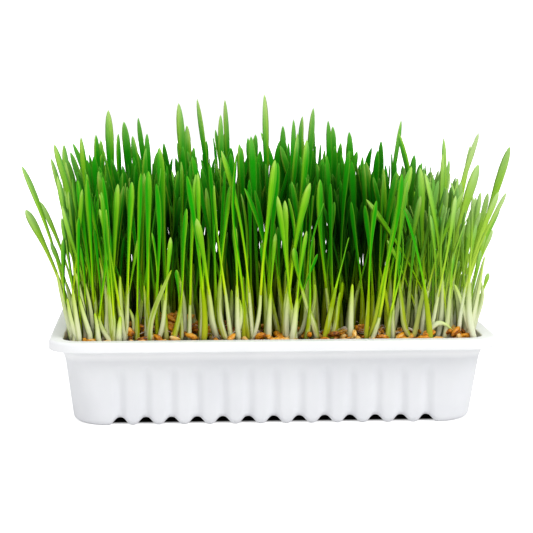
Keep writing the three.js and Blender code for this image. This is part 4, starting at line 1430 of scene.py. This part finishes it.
def grow(seedling, is_standout, draw):
    """Gives a seedling what its sheath and leaf need: sizes, curves, tints, and the light and shade painted
    on it.
    """
    x, y, _ = seedling["foot"]
    tip_x, _, tip_z = seedling["tip"]
    height = tip_z - FOOT_LEVEL
    is_shoot = "arch" in seedling
    is_closed = is_shoot or height < (STANDOUT_CLOSED_BELOW if is_standout else CLOSED_BELOW)
    steadiness = STEADY_STANDOUTS if is_standout else 1.0
    sheath_length = drawn(SHEATH_LENGTH, draw)
    seedling["closed"] = draw() < LEAFLESS_SHARE or is_closed
    seedling["sheath"] = 1.0 if is_closed else min(sheath_length / height, LONGEST_SHEATH)
    seedling["stout"] = drawn(STOUTNESS, draw)

    hooked = HOOK_SIZES[0] if draw() < HOOKED_SHARE else HOOK_SIZES[1]
    room_x, room_y = BED_LENGTH - FOOT_INSET, BED_WIDTH - FOOT_INSET
    hook_x = min(max(hooked * near_zero(draw), -room_x - x), room_x - x)
    hook_y = min(max(HOOK_ACROSS * hooked * near_zero(draw), -room_y - y), room_y - y)
    seedling["hook"] = (hook_x, hook_y, 0)
    sway_x, sway_y = (steadiness * most * near_zero(draw) for most in SWAY)
    seedling["sway"] = (sway_x, sway_y, seedling.get("arch", 0))
    snake = SNAKE * near_zero(draw)
    seedling["snake"] = 0 if is_shoot else snake
    seedling["twist"] = TWIST * steadiness * near_zero(draw)

    # Painted light: paler towards the ends of the sward, and painted shade the farther a foot is from its
    # edge; cast picks the side of the shoot painted lit.
    pales_from, palest_after = PALES_ON_THE_RIGHT if tip_x > 0 else PALES_ON_THE_LEFT
    past = max(abs(tip_x) - pales_from, 0) / palest_after
    from_end = BED_LENGTH - x - LIGHT_FROM_RIGHT if x > 0 else BED_LENGTH + x
    from_edge = min(from_end, BED_WIDTH - abs(y))
    outward = Vector(((x / BED_LENGTH) ** 5, (y / BED_WIDTH) ** 5, 0)).normalized()
    seedling["tint"] = drawn(SHOOT_TINT, draw) if is_shoot else draw()
    seedling["cast"] = -1.0 if draw() < 0.5 else 1.0
    seedling["pale"] = min(past * drawn(PALING, draw), PALEST)
    depth = float(ease((from_edge - DEEP_FROM) / (DEEP_AT - DEEP_FROM)))
    seedling["inner"] = depth * drawn(DEPTH_VARIETY, draw)
    seedling["outward"] = tuple(outward)
    highest = np.subtract(cad_high, (TIP_INSET, TIP_INSET, 0))
    seedling["tip"] = np.clip(seedling["tip"], np.add(cad_low, TIP_INSET), highest)


growing = seedlings + thickening(seedlings) + closed_shoots()
draw = random_from(GROWTH_SEED)
for number, seedling in enumerate(growing):
    grow(seedling, number < len(STANDOUTS), draw)
sheath_unit = stem_unit("sheath_unit", SHEATH_STATIONS, ROUND_SIDES)
leaf_unit = stem_unit("leaf_unit", LEAF_STATIONS, FLAT_SIDES)
NUMBERS = ("width", "bend", "turn", "sheath", "stout", "snake", "twist", "tint", "cast", "pale", "inner")
ARROWS = ("foot", "tip", "hook", "sway", "outward")


def planted(name, stems):
    """An object with one point at each seedling's foot and the seedling's own sizes as attributes."""
    numbers = {label: [seedling[label] for seedling in stems] for label in NUMBERS}
    arrows = {label: [seedling[label] for seedling in stems] for label in ARROWS}
    return mesh_object(name, [seedling["foot"] for seedling in stems], [], numbers, arrows)


for row in range(ROWS):
    own = [seedling for seedling in growing if seedling["row"] == row]
    sheaths = planted(f"sheaths_row_{row + 1}", own)
    run_tree(sheaths, sheath_tree, {"Unit": sheath_unit, "Width": SHEATH_WIDTH, "Finish": sheath_finish})
    leaves = planted(f"leaves_row_{row + 1}", [seedling for seedling in own if not seedling["closed"]])
    run_tree(leaves, leaf_tree, {"Unit": leaf_unit, "Size": 1.0, "Fold": LEAF_FOLD, "Finish": leaf_finish})
    for piece in (sheaths, leaves):
        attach(piece, "root")
        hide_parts(f"seedlings_row_{row + 1}")
bpy.data.objects.remove(sheath_unit)
bpy.data.objects.remove(leaf_unit)


# ---------------------------------------------------------------- stage
# The tray stands on a plain pale floor under a soft white sky, with a broad lamp to its right and a fainter
# one overhead. Hardly any light gets under the tray, so a painted shadow makes the floor dark inside the
# outline of its foot.

FLOOR_REACH = 3
FLOOR_GLOW = 0.75
SHADE_DEPTH = (-0.0070, -0.0008)
AMBIENT = 0.75
BACKDROP = 1.1

corners = [(x * FLOOR_REACH, y * FLOOR_REACH, 0) for x, y in ((-1, -1), (1, -1), (1, 1), (-1, 1))]
stage_floor = mesh_object("floor", corners, [[0, 1, 2, 3]])
pale, pale_tree, pale_shader = new_material("pale_floor", roughness=0.8, specular_ior_level=0.1)
pale_shader.inputs["Emission Color"].default_value = (1, 1, 1, 1)
place = add_node(pale_tree, "ShaderNodeSeparateXYZ", object_place(pale_tree))
foot_length, foot_width, foot_radius = (size - FOOT_ROUND for size in wall_at(0))
beyond = []
for axis, half in (("X", foot_length), ("Y", foot_width)):
    away = minus(pale_tree, maths(pale_tree, "ABSOLUTE", place.outputs[axis]), half - foot_radius)
    beyond.append(maths(pale_tree, "MAXIMUM", away, 0.0))
from_corner = vectors(pale_tree, "LENGTH", combined(pale_tree, *beyond, 0.0))
in_the_open = ranged(pale_tree, from_corner, *(foot_radius + depth for depth in SHADE_DEPTH))
# painted shadow: the floor's colour is dark inside the tray's foot outline, pale and glowing outside it
dress(pale_tree, pale_shader, ramp(pale_tree, in_the_open, [(0.0, "1C1A1A"), (0.9, "F6F6F6")]))
seen = pale_tree.nodes.new("ShaderNodeLightPath").outputs["Is Camera Ray"]
pale_tree.links.new(times(pale_tree, in_the_open, FLOOR_GLOW, seen), pale_shader.inputs["Emission Strength"])
stage_floor.data.materials.append(pale)

world = bpy.data.worlds.new("white_sky")
bpy.context.scene.world = world
world.use_nodes = True
sky = world.node_tree.nodes["Background"]
sky.inputs["Color"].default_value = (1, 1, 1, 1)
seen = world.node_tree.nodes.new("ShaderNodeLightPath").outputs["Is Camera Ray"]
strength = maths(world.node_tree, "MULTIPLY_ADD", seen, BACKDROP - AMBIENT, AMBIENT)
world.node_tree.links.new(strength, sky.inputs["Strength"])

# Each lamp's name, where it shines to, its strength, and how wide it looks, in degrees.
LAMPS = [
    ("key", (-0.45, 0.55, -0.75), 1.1, 30),
    ("overhead", (0.05, 0.1, -1), 0.45, 60),
]
for name, heading, strength, softness in LAMPS:
    lamp = bpy.data.lights.new(name, "SUN")
    lamp.energy = strength
    lamp.angle = math.radians(softness)
    hung = bpy.data.objects.new(name, lamp)
    hung.rotation_euler = Vector(heading).to_track_quat("-Z", "Y").to_euler()
    bpy.context.scene.collection.objects.link(hung)

AZIMUTH = math.radians(-3.08)
ELEVATION = math.radians(7.23)
DISTANCE = 1.0
LOOKED_AT = (-0.00065, 0, 0.0804)
LENS = 113.98
SENSOR_WIDTH = 36

level = math.cos(ELEVATION)
back = Vector((math.sin(AZIMUTH) * level, -math.cos(AZIMUTH) * level, math.sin(ELEVATION)))
camera = bpy.data.objects.new("camera", bpy.data.cameras.new("camera"))
camera.data.lens = LENS
camera.data.sensor_width = SENSOR_WIDTH
camera.location = Vector(LOOKED_AT) + back * DISTANCE
camera.rotation_mode = "QUATERNION"
camera.rotation_quaternion = (-back).to_track_quat("-Z", "Y")
bpy.context.scene.collection.objects.link(camera)
bpy.context.scene.camera = camera
bpy.context.scene.view_settings.view_transform = "Standard"
